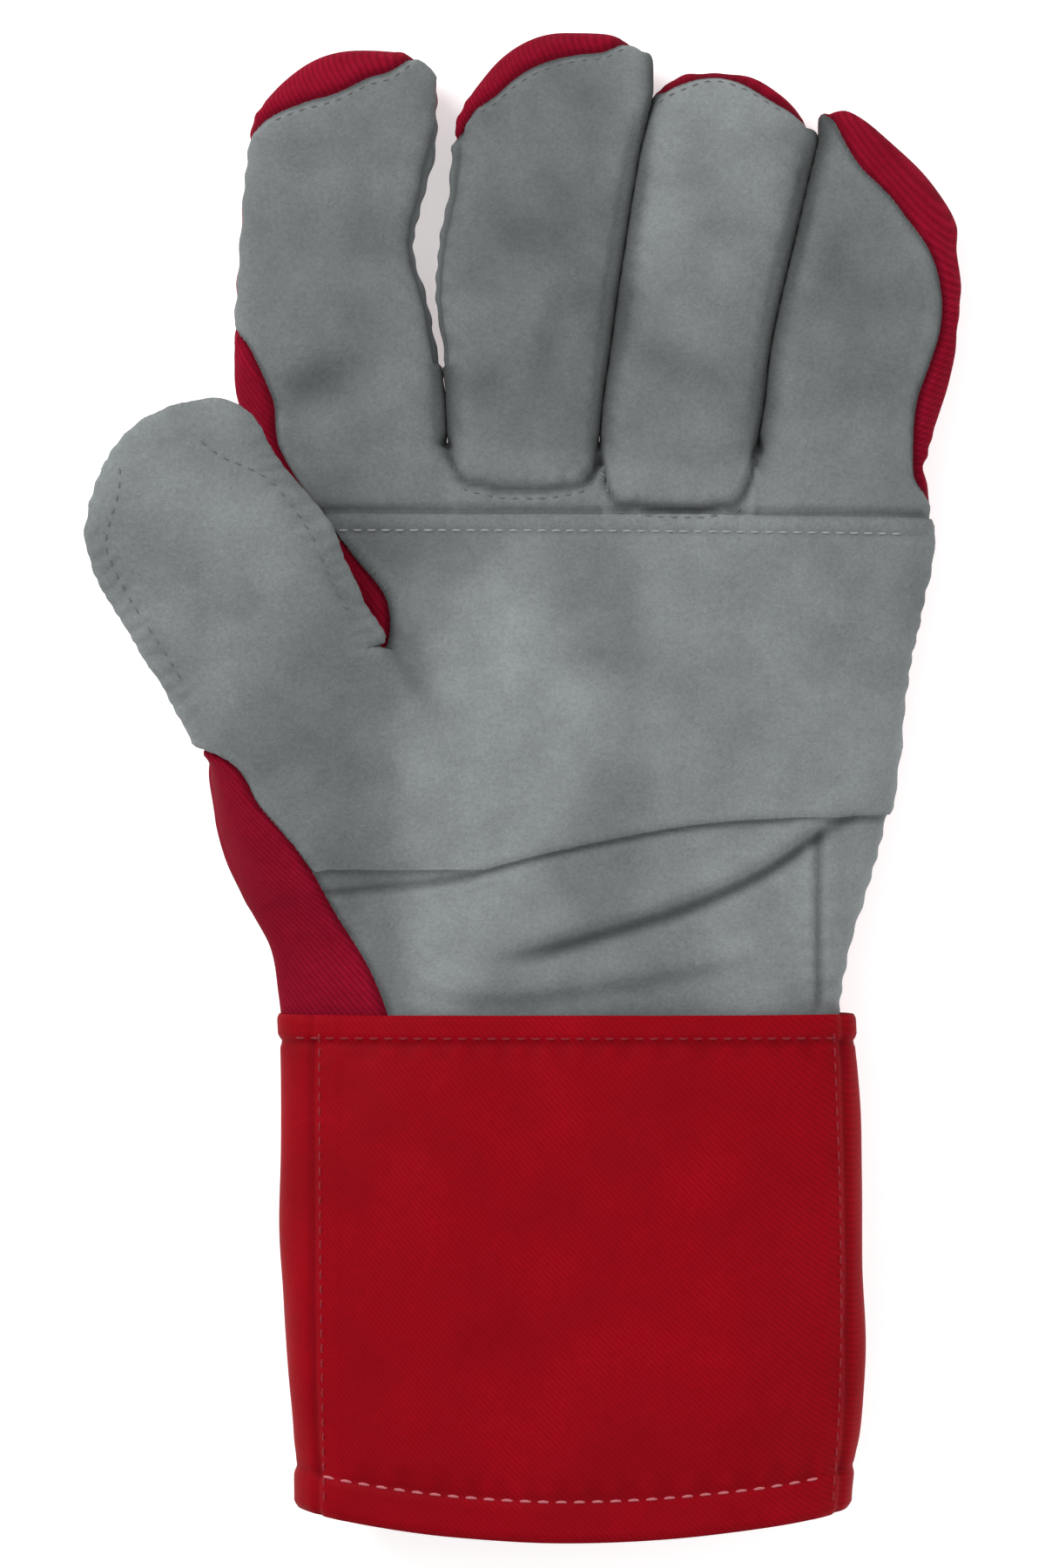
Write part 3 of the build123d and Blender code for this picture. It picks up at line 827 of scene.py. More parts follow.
def panel(name, mask, lift=False, thickness=PANEL_THICKNESS, sink=0.0):
    """A piece from the triangles in mask. With lift it carries the patch's extra layer on top."""
    place = rows[:, PLACE]
    normal = rows[:, NORMAL]
    extra = column(rows, "raised")[:, None] if lift else 0.0
    outer = place + normal * (extra - sink)
    inner = place - normal * (thickness + sink)
    return make_piece(name, outer, inner, normal, corners[mask], rows[:, REST], painted_on(rows))


# %% [markdown]
# ## The fingers
#
# Each finger has a leather front, a cotton back, and one or two leather strips down its sides. All of them
# pass over two joints, so each is cut into a lower piece, which spans the joint between the hand and the
# finger's shaft, and an upper piece, which spans the joint between the shaft and the tip.

# %% Finger pieces
FINGER_KINDS = {
    "front": ("palm_side", is_front),
    "back": ("back", is_back),
    "side_strip": ("gusset", is_strip),
}

for number, name in enumerate(NAMES):
    this = is_finger & (whose == number)
    low = value["y_hand"] < FINGER_SPLIT_Y[name]
    for kind, (node, mask) in FINGER_KINDS.items():
        piece = panel(f"{name}_{kind}_lower", this & mask & low)
        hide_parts(f"{name}_root_{node}", f"{name}_shaft_{node}")
        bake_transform(piece)
        piece = panel(f"{name}_{kind}_upper", this & mask & ~low)
        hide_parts(f"{name}_tip_{node}")
        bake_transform(piece)
print(len(made), "finger pieces")

# %% [markdown]
# The thumb is all leather, in a front and a back. Each is split along the thumb's own length, in the
# thumb's frame, into a lower and an upper piece.


thumb_low = value["ty"] < THUMB_SPLIT
for kind, node, mask in (("front", "palm_side", ~is_back), ("back", "back", is_back)):
    piece = panel(f"thumb_{kind}_lower", is_thumb & mask & thumb_low, lift=kind == "front")
    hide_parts(f"thumb_shaft_{node}")
    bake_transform(piece)
    piece = panel(f"thumb_{kind}_upper", is_thumb & mask & ~thumb_low, lift=kind == "front")
    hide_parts(f"thumb_tip_{node}")
    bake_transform(piece)
print("thumb pieces made")

# %% [markdown]
# ## The hand and the wrist
#
# The palm, its patch and the back of the hand don't bend, so they ride on the hand. The wrist below them
# gets pieces of its own. Three pieces can't be seen from the palm: a leather band over the knuckles, the
# elastic inside the wrist, and a thin cotton lining inside the palm.

# %% Hand and wrist pieces
piece = panel("palm_leather_panel", is_hand & ~is_back)
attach(piece, "hand")
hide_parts("palm_leather", "thumb_root")
piece = panel("palm_patch_panel", is_hand & is_patch, lift=True, thickness=-0.05)
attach(piece, "hand")
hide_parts("palm_patch")
piece = panel("hand_back_panel", is_hand & is_back)
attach(piece, "hand")
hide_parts("hand_back")

LINING_TOP_Y = 60
THUMB_MOUND = -22
is_lined = is_hand & is_front & (value["y_hand"] < LINING_TOP_Y) & (value["ty"] < THUMB_MOUND)
piece = panel("palm_lining_layer", is_lined, sink=1.7, thickness=0.7)
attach(piece, "hand")
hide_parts("palm_lining")

WRIST_PIECES = {
    "wrist_front": ("wrist_leather", is_front),
    "wrist_cotton": ("wrist_back", is_back | is_strip),
}
WRIST_END_Y = -60
for name, (node, mask) in WRIST_PIECES.items():
    piece = panel(name, is_wrist & mask & (value["y"] > WRIST_END_Y))
    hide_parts(node)
    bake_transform(piece)
print(len(made), "pieces so far")

# %% [markdown]
# The band over the knuckles and the elastic inside the wrist follow the skin, a little outside it or inside
# it. So they are cut from the same triangles, each within its own outline.

# %% Knuckle band and wrist elastic
BAND_MIDDLE = (17.5, 52.5)
BAND_HALF = (57.5, 8.5)
BAND_CORNER = 6.0
ELASTIC_LEFT, ELASTIC_RIGHT = -40, 58
ELASTIC_LOW, ELASTIC_HIGH = -31, -25
UNDERSIDE_Z = 6


def band(name, mask, inside, outer_push, inner_push):
    """A strip over or under part of the skin. inside is positive within the strip's outline."""
    place, part = cut(rows, corners[mask], inside(rows))
    part = part[inside(place[part].mean(1)) > 0]
    outer = place[:, PLACE] + place[:, NORMAL] * outer_push
    inner = place[:, PLACE] + place[:, NORMAL] * inner_push
    outer[:, 2] = np.maximum(outer[:, 2], FLOOR_CLEARANCE)
    return make_piece(name, outer, inner, place[:, NORMAL], part, place[:, REST], painted_on(place))


def on_knuckles(r):
    """A long rectangle with round corners."""
    dx = np.abs(r[:, 0] - BAND_MIDDLE[0]) - BAND_HALF[0] + BAND_CORNER
    dy = np.abs(r[:, 1] - BAND_MIDDLE[1]) - BAND_HALF[1] + BAND_CORNER
    return BAND_CORNER - np.hypot(np.maximum(dx, 0), np.maximum(dy, 0)) - np.minimum(np.maximum(dx, dy), 0)


def on_wrist(r):
    """A rectangle across the back of the wrist."""
    sideways = [r[:, 0] - ELASTIC_LEFT, ELASTIC_RIGHT - r[:, 0]]
    return np.min([r[:, 1] - ELASTIC_LOW, ELASTIC_HIGH - r[:, 1], *sideways], 0)


piece = band("knuckle_band", is_hand & is_back & (value["z"] < UNDERSIDE_Z), on_knuckles, 1.1, 0.05)
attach(piece, "hand")
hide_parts("knuckle_strap")
piece = band("wrist_elastic_band", is_wrist & is_back & (value["z"] < UNDERSIDE_Z), on_wrist, -1.3, -2.1)
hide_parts("wrist_elastic")
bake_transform(piece)
print("band and elastic made")

# %% [markdown]
# ## The gauntlet cuff
#
# The cuff is a wide tube of stiff coated cotton. It is cut in two panels that are joined near its sides,
# its upper edge is folded over the wrist, and its lower edge is turned in and sewn down. A tube like this
# is easiest to make as a grid: one direction runs round it and the other runs down it.

# %% The cuff as a grid
CUFF_LEFT = [(-164, -50.3), (-150, -50.4), (-127, -52), (-104, -53.4), (-70, -53.9), (-50, -54.4)]
CUFF_RIGHT = [
    (-164, 71.2), (-150, 72), (-140, 73.6), (-127, 74.3), (-104, 73.8), (-70, 73.2), (-50, 71.9),
]
CUFF_HEIGHT = [(-164, 40), (-130, 38.8), (-85, 36.4), (-60, 33.2), (-50, 31.8)]
AROUND, DOWN = 400, 150
CUFF_TOP_Y = -49.8
CUFF_LOW_Y = -163.3
CUFF_BOW, CUFF_BOW_REACH = 5.9, 61
CUFF_MIDDLE_X = 10.6
CUFF_HALF_WIDTH, CUFF_HALF_HEIGHT = 62, 18
CUFF_POWER = 2.7


def cuff_low(x):
    """The bowed lower edge of the cuff."""
    return CUFF_LOW_Y + CUFF_BOW * ((x - CUFF_MIDDLE_X) / CUFF_BOW_REACH) ** 2


angle = np.linspace(0, 2 * math.pi, 4001)[:-1]
ring_x = np.sign(np.cos(angle)) * np.abs(np.cos(angle)) ** (2 / CUFF_POWER)
ring_z = np.sign(np.sin(angle)) * np.abs(np.sin(angle)) ** (2 / CUFF_POWER)
steps = np.hypot(np.diff(ring_x * CUFF_HALF_WIDTH), np.diff(ring_z * CUFF_HALF_HEIGHT))
length = np.concatenate([[0], np.cumsum(steps)])
even = np.linspace(0, length[-1], AROUND, endpoint=False)
ring_x, ring_z = np.interp(even, length, ring_x), np.interp(even, length, ring_z)
down = np.linspace(0, 1, DOWN)

low_y = cuff_low(ring_x * CUFF_HALF_WIDTH + CUFF_MIDDLE_X)[:, None]
cuff_y = CUFF_TOP_Y + down[None, :] * (low_y - CUFF_TOP_Y)
left, right = curve(cuff_y, CUFF_LEFT), curve(cuff_y, CUFF_RIGHT)
height = curve(cuff_y, CUFF_HEIGHT)
cuff_x = (left + right) / 2 + ring_x[:, None] * (right - left) / 2
cuff_z = height / 2 * (1 + ring_z[:, None])
tube = np.stack([cuff_x, cuff_y, cuff_z], 2).reshape(-1, 3)

i, j = np.meshgrid(np.arange(AROUND), np.arange(DOWN - 1), indexing="ij")
a, b = (i * DOWN + j).ravel(), (((i + 1) % AROUND) * DOWN + j).ravel()
tube_corners = np.concatenate([np.stack([a, b, a + 1], 1), np.stack([b, b + 1, a + 1], 1)])
tube_normal = normals_of(tube, tube_corners)
points_out = (tube_normal[:, 2] * (tube[:, 2] - CUFF_HALF_HEIGHT)).sum() > 0
print("cuff of", len(tube), "vertices; its normals point outward:", bool(points_out))

# %% [markdown]
# Stiff cloth doesn't stay flat. It has long soft waves down the cuff, a groove where each row of stitches
# pulls it in, and a slightly thicker band where it is folded over at the top and at the hem.

# %% Relief on the cuff
CUFF_SEAM_RIGHT = [(-164, 67.6), (-130, 69.8), (-100, 70), (-50, 68.6)]
CUFF_SEAM_LEFT = [(-164, -45), (-100, -46), (-50, -46.4)]
CUFF_SEAM_Z = 14
TOP_HEM, LOW_HEM = 5.0, 8.6
CUFF_CLEARANCE = 0.03

cx, cy, cz = tube.T
from_top = CUFF_TOP_Y - cy
from_low = cy - cuff_low(cx)
on_top = fade(cz, 16, 24)
cuff_seam = np.minimum(curve(cy, CUFF_SEAM_RIGHT) - cx, cx - curve(cy, CUFF_SEAM_LEFT))
cuff_panel = np.minimum(cuff_seam, cz - CUFF_SEAM_Z)

cuff_broad = 0.5 * ripple(tube * [1, 0.45, 1], 36, 11) + 0.22 * ripple(tube * [1, 0.7, 1], 17, 12)
cuff_broad += 1.2 * bump(cx + 0.42 * cy, -62, 13) * on_top * fade(from_top, 0, 25)
cuff_broad -= 1.1 * bump(cx + 0.5 * cy, -38, 10) * on_top * fade(from_top, 5, 40)
cuff_relief = 0.35 * fade(from_top, TOP_HEM + 0.8, TOP_HEM - 0.5)
cuff_relief += 0.3 * fade(from_low, LOW_HEM + 1.5, LOW_HEM - 0.5)
cuff_relief -= 0.5 * bump(from_top, TOP_HEM + 1.0, 0.9) + 0.45 * bump(from_low, LOW_HEM + 0.4, 1.0)
pull = 0.5 + 0.5 * np.sin(cx * 2 * math.pi / 7.3 + 1.6 * np.sin(cx / 11))
cuff_relief -= 0.3 * pull * (bump(from_low, LOW_HEM + 2.5, 2.2) + bump(from_top, TOP_HEM + 3, 2))
cuff_relief -= 0.55 * bump(cuff_seam, 0, 0.9) * on_top
cuff_relief += 0.3 * fade(cuff_seam, 0.3, 1.2) * fade(cuff_seam, 6.5, 5.0) * on_top
cuff_relief -= 0.9 * fade(from_low, 1.6, 0) + 0.5 * fade(from_top, 1.0, 0)
cuff_shape = tube + tube_normal * (cuff_relief + cuff_broad)[:, None]
cuff_shape[:, 2] = np.maximum(cuff_shape[:, 2], CUFF_CLEARANCE)
cuff_normal = normals_of(cuff_shape, tube_corners)
print("cuff relief", round(float(cuff_relief.min()), 2), "to", round(float(cuff_relief.max()), 2), "mm")

# %% [markdown]
# The cuff is cut like the skin: along its two seams, and along the upper edge of the turned-in hem.

# %% Cuff pieces
FRONT_SIDE, FROM_LOW, CUFF_DEPTH = 9, 10, 11
HEM_FOLD = 9.5
CUFF_THICKNESS = 1.5
cuff_rows = np.column_stack([tube, cuff_shape, cuff_normal, cuff_panel, from_low, cuff_relief])
cuff_rows, cuff_corners = cut(cuff_rows, tube_corners, cuff_rows[:, FRONT_SIDE])
cuff_rows, cuff_corners = cut(cuff_rows, cuff_corners, cuff_rows[:, FROM_LOW] - HEM_FOLD)
cuff_centre = cuff_rows[cuff_corners].mean(1)


def cuff_piece(name, mask, outer_push, inner_push, nodes):
    """A closed piece of the cuff between two distances from its skin."""
    place, normal = cuff_rows[:, PLACE], cuff_rows[:, NORMAL]
    surfaces = place + normal * outer_push, place + normal * inner_push
    depth = {"depth": cuff_rows[:, CUFF_DEPTH]}
    piece = make_piece(name, *surfaces, normal, cuff_corners[mask], cuff_rows[:, REST], depth)
    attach(piece, "cuff")
    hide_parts(nodes)
    return piece


is_front_panel = cuff_centre[:, FRONT_SIDE] > 0
is_hem = cuff_centre[:, FROM_LOW] < HEM_FOLD
cuff_piece("cuff_front_panel", is_front_panel, 0.0, -CUFF_THICKNESS, "cuff_front")
cuff_piece("cuff_back_panel", ~is_front_panel, 0.0, -CUFF_THICKNESS, "cuff_back")
cuff_piece("cuff_hem_fold", is_hem, -1.55, -2.7, "cuff_hem")
print(len(made), "pieces so far")

# %% [markdown]
# ## The stitches
#
# Thread is what one looks at on a sewn thing, so every visible row is made of real stitches. One stitch is
# a short thick thread that comes up out of the surface, lies on it and goes back in. A row needs to know
# where the surface is, so rays are dropped on it at a few places along each stitch.

# %% The stitch maker
SIDES = 6
RINGS = 6
RAY_START = 0.2


def ground(pieces_below):
    """Something rays can be dropped on: all of the given pieces together."""
    points, faces = [], []
    for piece in pieces_below:
        start = len(points)
        points += [v.co.copy() for v in piece.data.vertices]
        faces += [[start + v for v in p.vertices] for p in piece.data.polygons]
    return BVHTree.FromPolygons(points, faces)


def stitch_row(name, path, tree, pitch, length, radius, side=1):
    """Stitches along a path of (x, y) points, seen from above, or from below if side is -1."""
    path = np.array(path, float)
    run = np.concatenate([[0], np.cumsum(np.hypot(*np.diff(path, axis=0).T))])
    mesh_points, mesh_faces = [], []
    for start in np.arange(0, run[-1] - length, pitch):
        ring_starts = []
        spots = []
        for share in np.linspace(0, 1, RINGS):
            at = start + share * length
            px, py = np.interp(at, run, path[:, 0]), np.interp(at, run, path[:, 1])
            above = Vector((px * MM, py * MM, RAY_START * side))
            hit, normal, _, _ = tree.ray_cast(above, Vector((0, 0, -side)))
            spots.append(None if hit is None else (hit, normal, share))
        if None in spots:
            continue
        forward = (spots[-1][0] - spots[0][0]).normalized()
        for hit, normal, share in spots:
            arch = math.sin(math.pi * share)
            thick = radius * (0.55 + 0.45 * arch) * MM
            sideways = forward.cross(normal).normalized()
            middle = hit + normal * (radius * (1.3 * arch - 0.75)) * MM
            ring_starts.append(len(mesh_points))
            for turn in range(SIDES):
                a = 2 * math.pi * turn / SIDES
                mesh_points.append(middle + (sideways * math.cos(a) + normal * math.sin(a)) * thick)
        for low, high in zip(ring_starts, ring_starts[1:]):
            for turn in range(SIDES):
                after = (turn + 1) % SIDES
                mesh_faces.append((low + turn, low + after, high + after, high + turn))
        mesh_faces.append([ring_starts[0] + turn for turn in range(SIDES)][::-1])
        mesh_faces.append([ring_starts[-1] + turn for turn in range(SIDES)])
    mesh = bpy.data.meshes.new(name)
    mesh.from_pydata(mesh_points, [], mesh_faces)
    mesh.polygons.foreach_set("use_smooth", np.ones(len(mesh.polygons), bool))
    rest = mesh.attributes.new("rest", "FLOAT_VECTOR", "POINT")
    rest.data.foreach_set("vector", np.array(mesh_points, np.float32).ravel())
    mesh.update()
    print(name, len(mesh_points) // (RINGS * SIDES), "stitches")
    return link_piece(name, mesh)


def level_path(low, high, count, height):
    """Points from low to high across the glove, at a height that is a number or a rule for x."""
    across = np.linspace(low, high, count)
    return np.column_stack([across, height(across) if callable(height) else across * 0 + height])


cuff_ground = ground([made["cuff_front_panel"], made["cuff_back_panel"]])
palm_ground = ground([made["palm_patch_panel"], made["palm_leather_panel"]])

# %% Rows on the cuff and the patch
# Each kind of row: the pitch, the length and the radius of its stitches
HEM_KIND = (3.9, 2.7, 0.33)
CUFF_KIND = (3.2, 2.2, 0.24)
PATCH_KIND = (3.1, 2.2, 0.26)
KNUCKLE_KIND = (3.1, 2.2, 0.24)
FOOT_KIND = (2.9, 1.8, 0.22)
TIP_KIND = (2.8, 1.8, 0.22)
BESIDE_SEAM = 1.6

path = level_path(-44, 66.5, 80, lambda at: cuff_low(at) + LOW_HEM + 0.3)
piece = stitch_row("hem_stitches", path, cuff_ground, *HEM_KIND)
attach(piece, "cuff")
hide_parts("cuff_hem_thread")
path = level_path(-50, 69, 60, CUFF_TOP_Y - TOP_HEM)
piece = stitch_row("cuff_top_stitches", path, cuff_ground, *CUFF_KIND)
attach(piece, "cuff")
seam_y = np.linspace(-155, -52, 60)
for side, seam, shift in (("right", CUFF_SEAM_RIGHT, -BESIDE_SEAM), ("left", CUFF_SEAM_LEFT, BESIDE_SEAM)):
    path = np.column_stack([curve(seam_y, seam) + shift, seam_y])
    piece = stitch_row(f"cuff_{side}_stitches", path, cuff_ground, *CUFF_KIND)
    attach(piece, "cuff")

path = level_path(-44, 84, 90, lambda at: curve(at, PATCH_TOP) - 3.4)
piece = stitch_row("patch_stitches", path, palm_ground, *PATCH_KIND)
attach(piece, "hand")
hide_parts("palm_patch_thread")

knuckle_ground = ground([made["knuckle_band"]])
for name, edge_y in (("upper", 58.8), ("lower", 46.2)):
    path = level_path(-36, 71, 60, edge_y)
    piece = stitch_row(f"knuckle_{name}_stitches", path, knuckle_ground, *KNUCKLE_KIND, side=-1)
    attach(piece, "hand")

# %% [markdown]
# The rows on the fingers keep a little inside the leather's edge. The thumb's rows follow its two sides and
# turn in towards each other at its round end.

# %% Rows on the fingers and the thumb
path = level_path(-14, 48, 60, lambda at: u_line_at(at) - 1.9)
piece = stitch_row("finger_foot_stitches", path, palm_ground, *FOOT_KIND)
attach(piece, "hand")

for name, low, high in (("index", -55, -24), ("middle", -10, 22), ("ring", 29, 58)):
    path = level_path(low, high, 30, lambda at: curve(at, TIP_BORDER[name]) - 2.0)
    piece = stitch_row(f"{name}_tip_stitches", path, ground([made[f"{name}_front_upper"]]), *TIP_KIND)
    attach(piece, f"{name}_tip")

THUMB_ROWS = {"lower": np.linspace(-7, 8.5, 12), "upper": np.linspace(9.5, 41, 24)}
INSET = 3.6
for part, run in THUMB_ROWS.items():
    tree = ground([made[f"thumb_front_{part}"]])
    for side, edge_line, inset in (("left", THUMB_LEFT, INSET), ("right", THUMB_RIGHT, -INSET)):
        tuck = 8.5 * fade(run, 24, 42) * (1 if side == "left" else -1)
        sideways = np.outer(curve(run, edge_line) + inset + tuck, thumb_across)
        place = thumb_foot + sideways + np.outer(run, thumb_along)
        piece = stitch_row(f"thumb_{side}_stitches_{part}", place[:, :2], tree, *FOOT_KIND)
        if part == "lower":
            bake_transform(piece)
        else:
            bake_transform(piece)

# %% [markdown]
# ## The finishes
#
# Split leather has no shiny skin: both of its sides are a short nap of fibres, like suede. It is dull,
# slightly cloudy, darkened by painted shade in the valleys and paler where it is rubbed. The pattern is
# worked out from each point's place in the resting glove, at the size it really has: nap of a third of a
# millimetre, clouds of one or two centimetres.

# %% Node helpers
def finish(name, roughness, sheen, gloss=0.15):
    """A new material with the values that are the same all over, and its nodes."""
    material = bpy.data.materials.new(name)
    material.use_nodes = True
    tree = material.node_tree
    shader = tree.nodes["Principled BSDF"]
    shader.inputs["Roughness"].default_value = roughness
    shader.inputs["Sheen Weight"].default_value = sheen
    shader.inputs["Sheen Roughness"].default_value = 0.5
    shader.inputs["Specular IOR Level"].default_value = gloss
    rest = tree.nodes.new("ShaderNodeAttribute")
    rest.attribute_name = "rest"
    return material, tree, shader, rest.outputs["Vector"]


def noise(tree, place, size_mm, detail, roughness=0.55):
    """Cloudy noise with features of a size in millimetres."""
    node = tree.nodes.new("ShaderNodeTexNoise")
    node.inputs["Scale"].default_value = 1000 / size_mm
    node.inputs["Detail"].default_value = detail
    node.inputs["Roughness"].default_value = roughness
    tree.links.new(place, node.inputs["Vector"])
    return node.outputs["Fac"]


def remap(tree, source, low, high, to_low, to_high):
    """Stretches a value from one range to another, and holds it at the ends."""
    node = tree.nodes.new("ShaderNodeMapRange")
    given = {"From Min": low, "From Max": high, "To Min": to_low, "To Max": to_high}
    for socket, number in given.items():
        node.inputs[socket].default_value = number
    tree.links.new(source, node.inputs["Value"])
    return node.outputs["Result"]


def feed(tree, sockets, values):
    """Gives each socket its value, which is a link or a constant."""
    for socket, given in zip(sockets, values):
        if isinstance(given, bpy.types.NodeSocket):
            tree.links.new(given, socket)
        else:
            socket.default_value = given


def mix(tree, share, first, second):
    """Mixes two colours, each a link or a fixed colour."""
    node = tree.nodes.new("ShaderNodeMix")
    node.data_type = "RGBA"
    feed(tree, (node.inputs["Factor"], node.inputs["A"], node.inputs["B"]), (share, first, second))
    return node.outputs["Result"]


def maths(tree, operation, first, second):
    """One sum or product, or another operation, of two values."""
    node = tree.nodes.new("ShaderNodeMath")
    node.operation = operation
    feed(tree, node.inputs, (first, second))
    return node.outputs["Value"]


def rough_surface(tree, shader, height, depth_mm, strength):
    """Bump from a height of 0 to 1 that is depth_mm deep."""
    node = tree.nodes.new("ShaderNodeBump")
    node.inputs["Distance"].default_value = depth_mm * MM
    node.inputs["Strength"].default_value = strength
    tree.links.new(height, node.inputs["Height"])
    tree.links.new(node.outputs["Normal"], shader.inputs["Normal"])


def valley_painted_shade(tree, low=-1.4, high=0.1, dark=0.35):
    """Painted shade: 1 on the open surface, going down to dark in the bottom of a seam or crease."""
    node = tree.nodes.new("ShaderNodeAttribute")
    node.attribute_name = "depth"
    return remap(tree, node.outputs["Fac"], low, high, dark, 1.0)


# %% Split leather
def split_leather(name, strength):
    """Grey suede. Its grey level comes from the painted values, partly wear and partly painted shade, times
    a strength, with painted shade in seams and creases.
    """
    material, tree, shader, place = finish(name, 0.95, 0.06)
    painted = tree.nodes.new("ShaderNodeAttribute")
    painted.attribute_name = "tone_and_painted_shade"
    clouds = noise(tree, place, 16, 4)
    nap = noise(tree, place, 0.9, 5, 0.7)
    fibres = noise(tree, place, 0.32, 2)
    level = maths(tree, "MULTIPLY", painted.outputs["Fac"], strength)
    for share in (
        remap(tree, clouds, 0.3, 0.7, 0.84, 1.16),
        remap(tree, nap, 0.25, 0.75, 0.84, 1.18),
        remap(tree, fibres, 0.3, 0.7, 0.9, 1.1),
        # Painted shade darkens the leather in seams and creases.
        valley_painted_shade(tree),
    ):
        level = maths(tree, "MULTIPLY", level, share)
    colour = tree.nodes.new("ShaderNodeCombineColor")
    for socket, tint in (("Red", 0.925), ("Green", 1.0), ("Blue", 1.015)):
        tree.links.new(maths(tree, "MULTIPLY", level, tint), colour.inputs[socket])
    tree.links.new(colour.outputs["Color"], shader.inputs["Base Color"])
    height = maths(tree, "ADD", maths(tree, "MULTIPLY", nap, 0.7), maths(tree, "MULTIPLY", fibres, 0.3))
    height = maths(tree, "ADD", height, maths(tree, "MULTIPLY", noise(tree, place, 4.5, 3), 0.9))
    rough_surface(tree, shader, height, 0.34, 0.7)
    return material


palm_split = split_leather("grey_split_leather", 1.0)
patch_split = split_leather("patch_split_leather", 1.03)
print("leathers:", palm_split.name, "and", patch_split.name)

# %% [markdown]
# Cotton drill is woven with a diagonal rib. Two sets of fine waves, one each way, make the threads, and a
# slower noise makes some threads thicker and darker than others. The coated cotton of the cuff has the same
# weave under a thin coat, so it is smoother, brighter and slightly glossier.

# %% Woven cloths
def waves(tree, place, period_mm, direction):
    """Even stripes across a direction, as a height from 0 to 1."""
    dot = tree.nodes.new("ShaderNodeVectorMath")
    dot.operation = "DOT_PRODUCT"
    tree.links.new(place, dot.inputs[0])
    dot.inputs[1].default_value = [d * 2000 * math.pi / period_mm for d in direction]
    sine = maths(tree, "SINE", dot.outputs["Value"], 0)
    return maths(tree, "ADD", maths(tree, "MULTIPLY", sine, 0.5), 0.5)


def cloth(name, dark, light, seam_painted_shade, period, weave_depth, roughness):
    """Woven cotton between a dark and a light colour, with threads at a period in millimetres, and painted
    shade in its seams and creases.
    """
    material, tree, shader, place = finish(name, roughness, sheen=0.0, gloss=0.04)
    rib = waves(tree, place, period, (0.6, 0.6, 0.5))
    thread = waves(tree, place, period * 0.5, (0.7, -0.6, 0.4))
    uneven = noise(tree, place, 1.6, 4, 0.6)
    clouds = noise(tree, place, 22, 4)
    shade = maths(tree, "ADD", maths(tree, "MULTIPLY", rib, 0.35), maths(tree, "MULTIPLY", thread, 0.25))
    shade = maths(tree, "ADD", shade, maths(tree, "MULTIPLY", uneven, 0.5))
    colour = mix(tree, remap(tree, shade, 0.25, 0.85, 0, 1), dark, light)
    shadow = [c * 0.72 for c in dark[:3]] + [1]
    colour = mix(tree, remap(tree, clouds, 0.35, 0.7, 0.45, 0.0), colour, shadow)
    # Painted shade: the colour goes towards a darker one in the bottom of seams and creases.
    colour = mix(tree, valley_painted_shade(tree, -1.2, 0.0, 0.2), seam_painted_shade, colour)
    tree.links.new(colour, shader.inputs["Base Color"])
    rough_surface(tree, shader, shade, weave_depth, 0.8)
    return material


back_cotton = cloth(
    "red_cotton_drill", dark=(0.15, 0.002, 0.010, 1), light=(0.28, 0.005, 0.024, 1),
    seam_painted_shade=(0.04, 0.001, 0.004, 1), period=1.0, weave_depth=0.22, roughness=0.85,
)
cuff_cotton = cloth(
    "red_coated_cotton", dark=(0.205, 0.0006, 0.004, 1), light=(0.31, 0.0012, 0.008, 1),
    seam_painted_shade=(0.1, 0.0004, 0.003, 1), period=0.8, weave_depth=0.08, roughness=0.6,
)
lining_cotton = cloth(
    "cream_lining_jersey", dark=(0.5, 0.46, 0.38, 1), light=(0.72, 0.68, 0.58, 1),
    seam_painted_shade=(0.3, 0.27, 0.22, 1), period=0.9, weave_depth=0.2, roughness=0.95,
)
elastic_weave = cloth(
    "white_woven_elastic", dark=(0.6, 0.58, 0.54, 1), light=(0.8, 0.78, 0.74, 1),
    seam_painted_shade=(0.4, 0.38, 0.35, 1), period=0.7, weave_depth=0.2, roughness=0.8,
)
print("cloths:", ", ".join(m.name for m in (back_cotton, cuff_cotton, lining_cotton, elastic_weave)))

# %% [markdown]
# Sewing thread is twisted, so fine slanting bands run round it.

# %% Threads
def sewing_thread(name, dark, light):
    """Twisted thread between a dark and a light colour."""
    material, tree, shader, place = finish(name, 0.6, 0.2)
    twist = waves(tree, place, 0.35, (0.75, 0.6, 0.2))
    colour = mix(tree, twist, dark, light)
    tree.links.new(colour, shader.inputs["Base Color"])
    rough_surface(tree, shader, twist, 0.06, 0.8)
    return material


pale_thread = sewing_thread("pale_thread", (0.36, 0.05, 0.07, 1), (0.62, 0.20, 0.22, 1))
grey_thread = sewing_thread("grey_thread", (0.20, 0.205, 0.21, 1), (0.36, 0.37, 0.38, 1))
dark_thread = sewing_thread("dark_grey_thread", (0.08, 0.083, 0.085, 1), (0.17, 0.175, 0.18, 1))
red_thread = sewing_thread("red_thread", (0.17, 0.002, 0.008, 1), (0.30, 0.008, 0.02, 1))
print("threads ready")

# %% [markdown]
# Most pieces get their finish from their names. The few that can't are listed first.

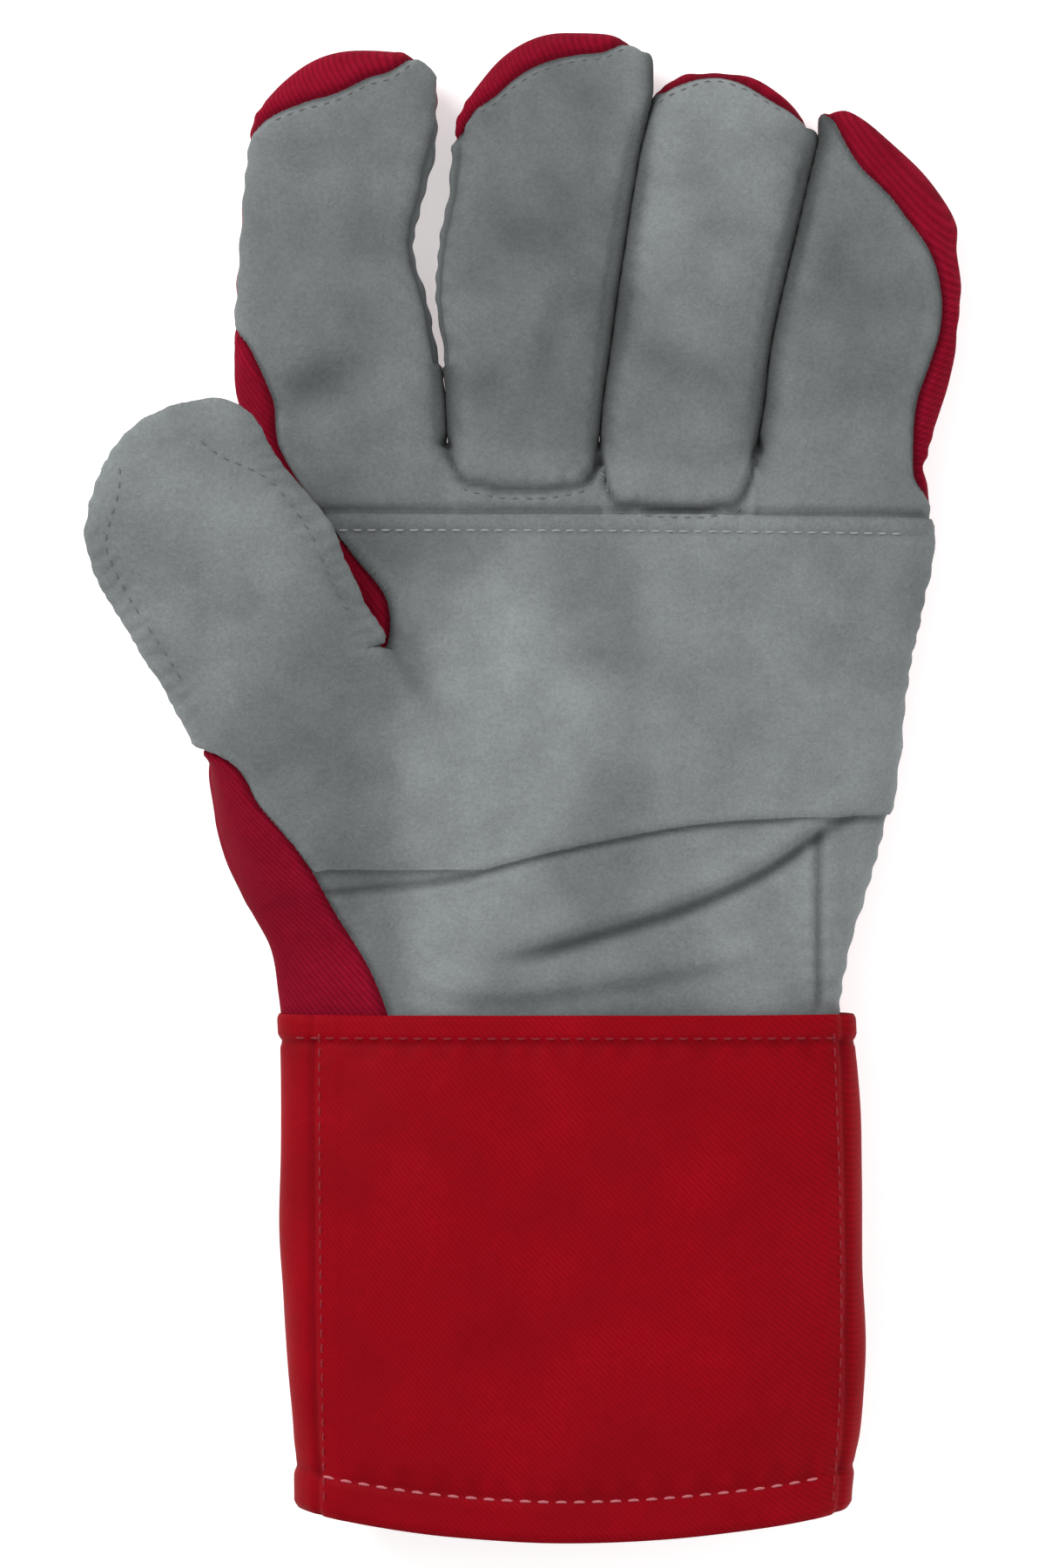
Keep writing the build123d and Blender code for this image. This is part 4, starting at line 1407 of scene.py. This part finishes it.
# %% Give every piece its finish
FINISH = {
    "palm_leather_panel": (palm_split, "grey_leather"),
    "palm_patch_panel": (patch_split, "patch_leather"),
    "hand_back_panel": (back_cotton, "back_fabric"),
    "palm_lining_layer": (lining_cotton, "lining_fabric"),
    "wrist_front": (palm_split, "grey_leather"),
    "wrist_cotton": (back_cotton, "back_fabric"),
    "knuckle_band": (palm_split, "grey_leather"),
    "wrist_elastic_band": (elastic_weave, "elastic"),
    "hem_stitches": (pale_thread, "thread"),
    "patch_stitches": (grey_thread, "thread"),
}
for name, piece in made.items():
    part = name.split("_")[0]
    if name in FINISH:
        material, slot_name = FINISH[name]
    elif "stitches" in name:
        thread = {"cuff": red_thread, "knuckle": grey_thread}.get(part, dark_thread)
        material, slot_name = thread, "thread"
    elif part == "cuff":
        material, slot_name = cuff_cotton, "cuff_fabric"
    elif "_back_" in name and part != "thumb":
        material, slot_name = back_cotton, "back_fabric"
    else:
        material, slot_name = (patch_split if part == "thumb" else palm_split), "grey_leather"
    piece.data.materials.append(material)
print(len(made), "pieces finished")

# %% [markdown]
# ## Floor, light and camera
#
# The glove lies on a plain pale floor that glows a little, like a light table, so its shadow is faint. A
# wide soft light from above the thumb, a wider and weaker one from the other side and a bright surround
# light it evenly, with just enough direction to show the creases.

# %% Floor and lights
FLOOR_Z = -0.0006
FLOOR_GLOW = 0.45
SURROUND = 0.6
bpy.ops.mesh.primitive_grid_add(x_subdivisions=8, y_subdivisions=8, size=6, location=(0, 0, FLOOR_Z))
floor = bpy.context.object
floor.name = "floor"
material = bpy.data.materials.new("pale_floor")
material.use_nodes = True
shader = material.node_tree.nodes["Principled BSDF"]
shader.inputs["Base Color"].default_value = (0.95, 0.95, 0.95, 1)
shader.inputs["Roughness"].default_value = 0.9
shader.inputs["Emission Color"].default_value = (1, 1, 1, 1)
shader.inputs["Emission Strength"].default_value = FLOOR_GLOW
floor.data.materials.append(material)

scene = bpy.context.scene
scene.view_settings.view_transform = "Standard"
world = bpy.data.worlds.new("surround")
world.use_nodes = True
background = world.node_tree.nodes["Background"]
background.inputs["Color"].default_value = (1, 1, 1, 1)
background.inputs["Strength"].default_value = SURROUND
scene.world = world


def soft_light(name, place, size, power):
    """A round soft light that points at the glove."""
    light = bpy.data.lights.new(name, "AREA")
    light.shape = "DISK"
    light.size = size
    light.energy = power
    lamp = bpy.data.objects.new(name, light)
    lamp.location = place
    lamp.rotation_euler = (-Vector(place)).to_track_quat("-Z", "Y").to_euler()
    scene.collection.objects.link(lamp)


soft_light("key", (-0.75, 0.75, 0.9), size=0.9, power=15)
soft_light("fill", (0.9, -0.3, 0.9), size=1.2, power=5)
print("lights ready")

# %% [markdown]
# The camera looks straight down, from far enough away that the fingers and the cuff keep their true
# proportions.

# %% Camera
VIEW_HEIGHT = 0.342
CAMERA_HEIGHT = 1.6
PALM_HEIGHT = 0.022
SENSOR_HEIGHT = 36
camera = bpy.data.cameras.new("camera")
camera.sensor_fit = "VERTICAL"
camera.sensor_height = SENSOR_HEIGHT
camera.lens = SENSOR_HEIGHT * (CAMERA_HEIGHT - PALM_HEIGHT) / VIEW_HEIGHT
camera.clip_end = 20
eye = bpy.data.objects.new("camera", camera)
eye.location = (-0.0006, 0.0004, CAMERA_HEIGHT)
scene.collection.objects.link(eye)
scene.camera = eye
print("lens", round(camera.lens, 1), "mm")
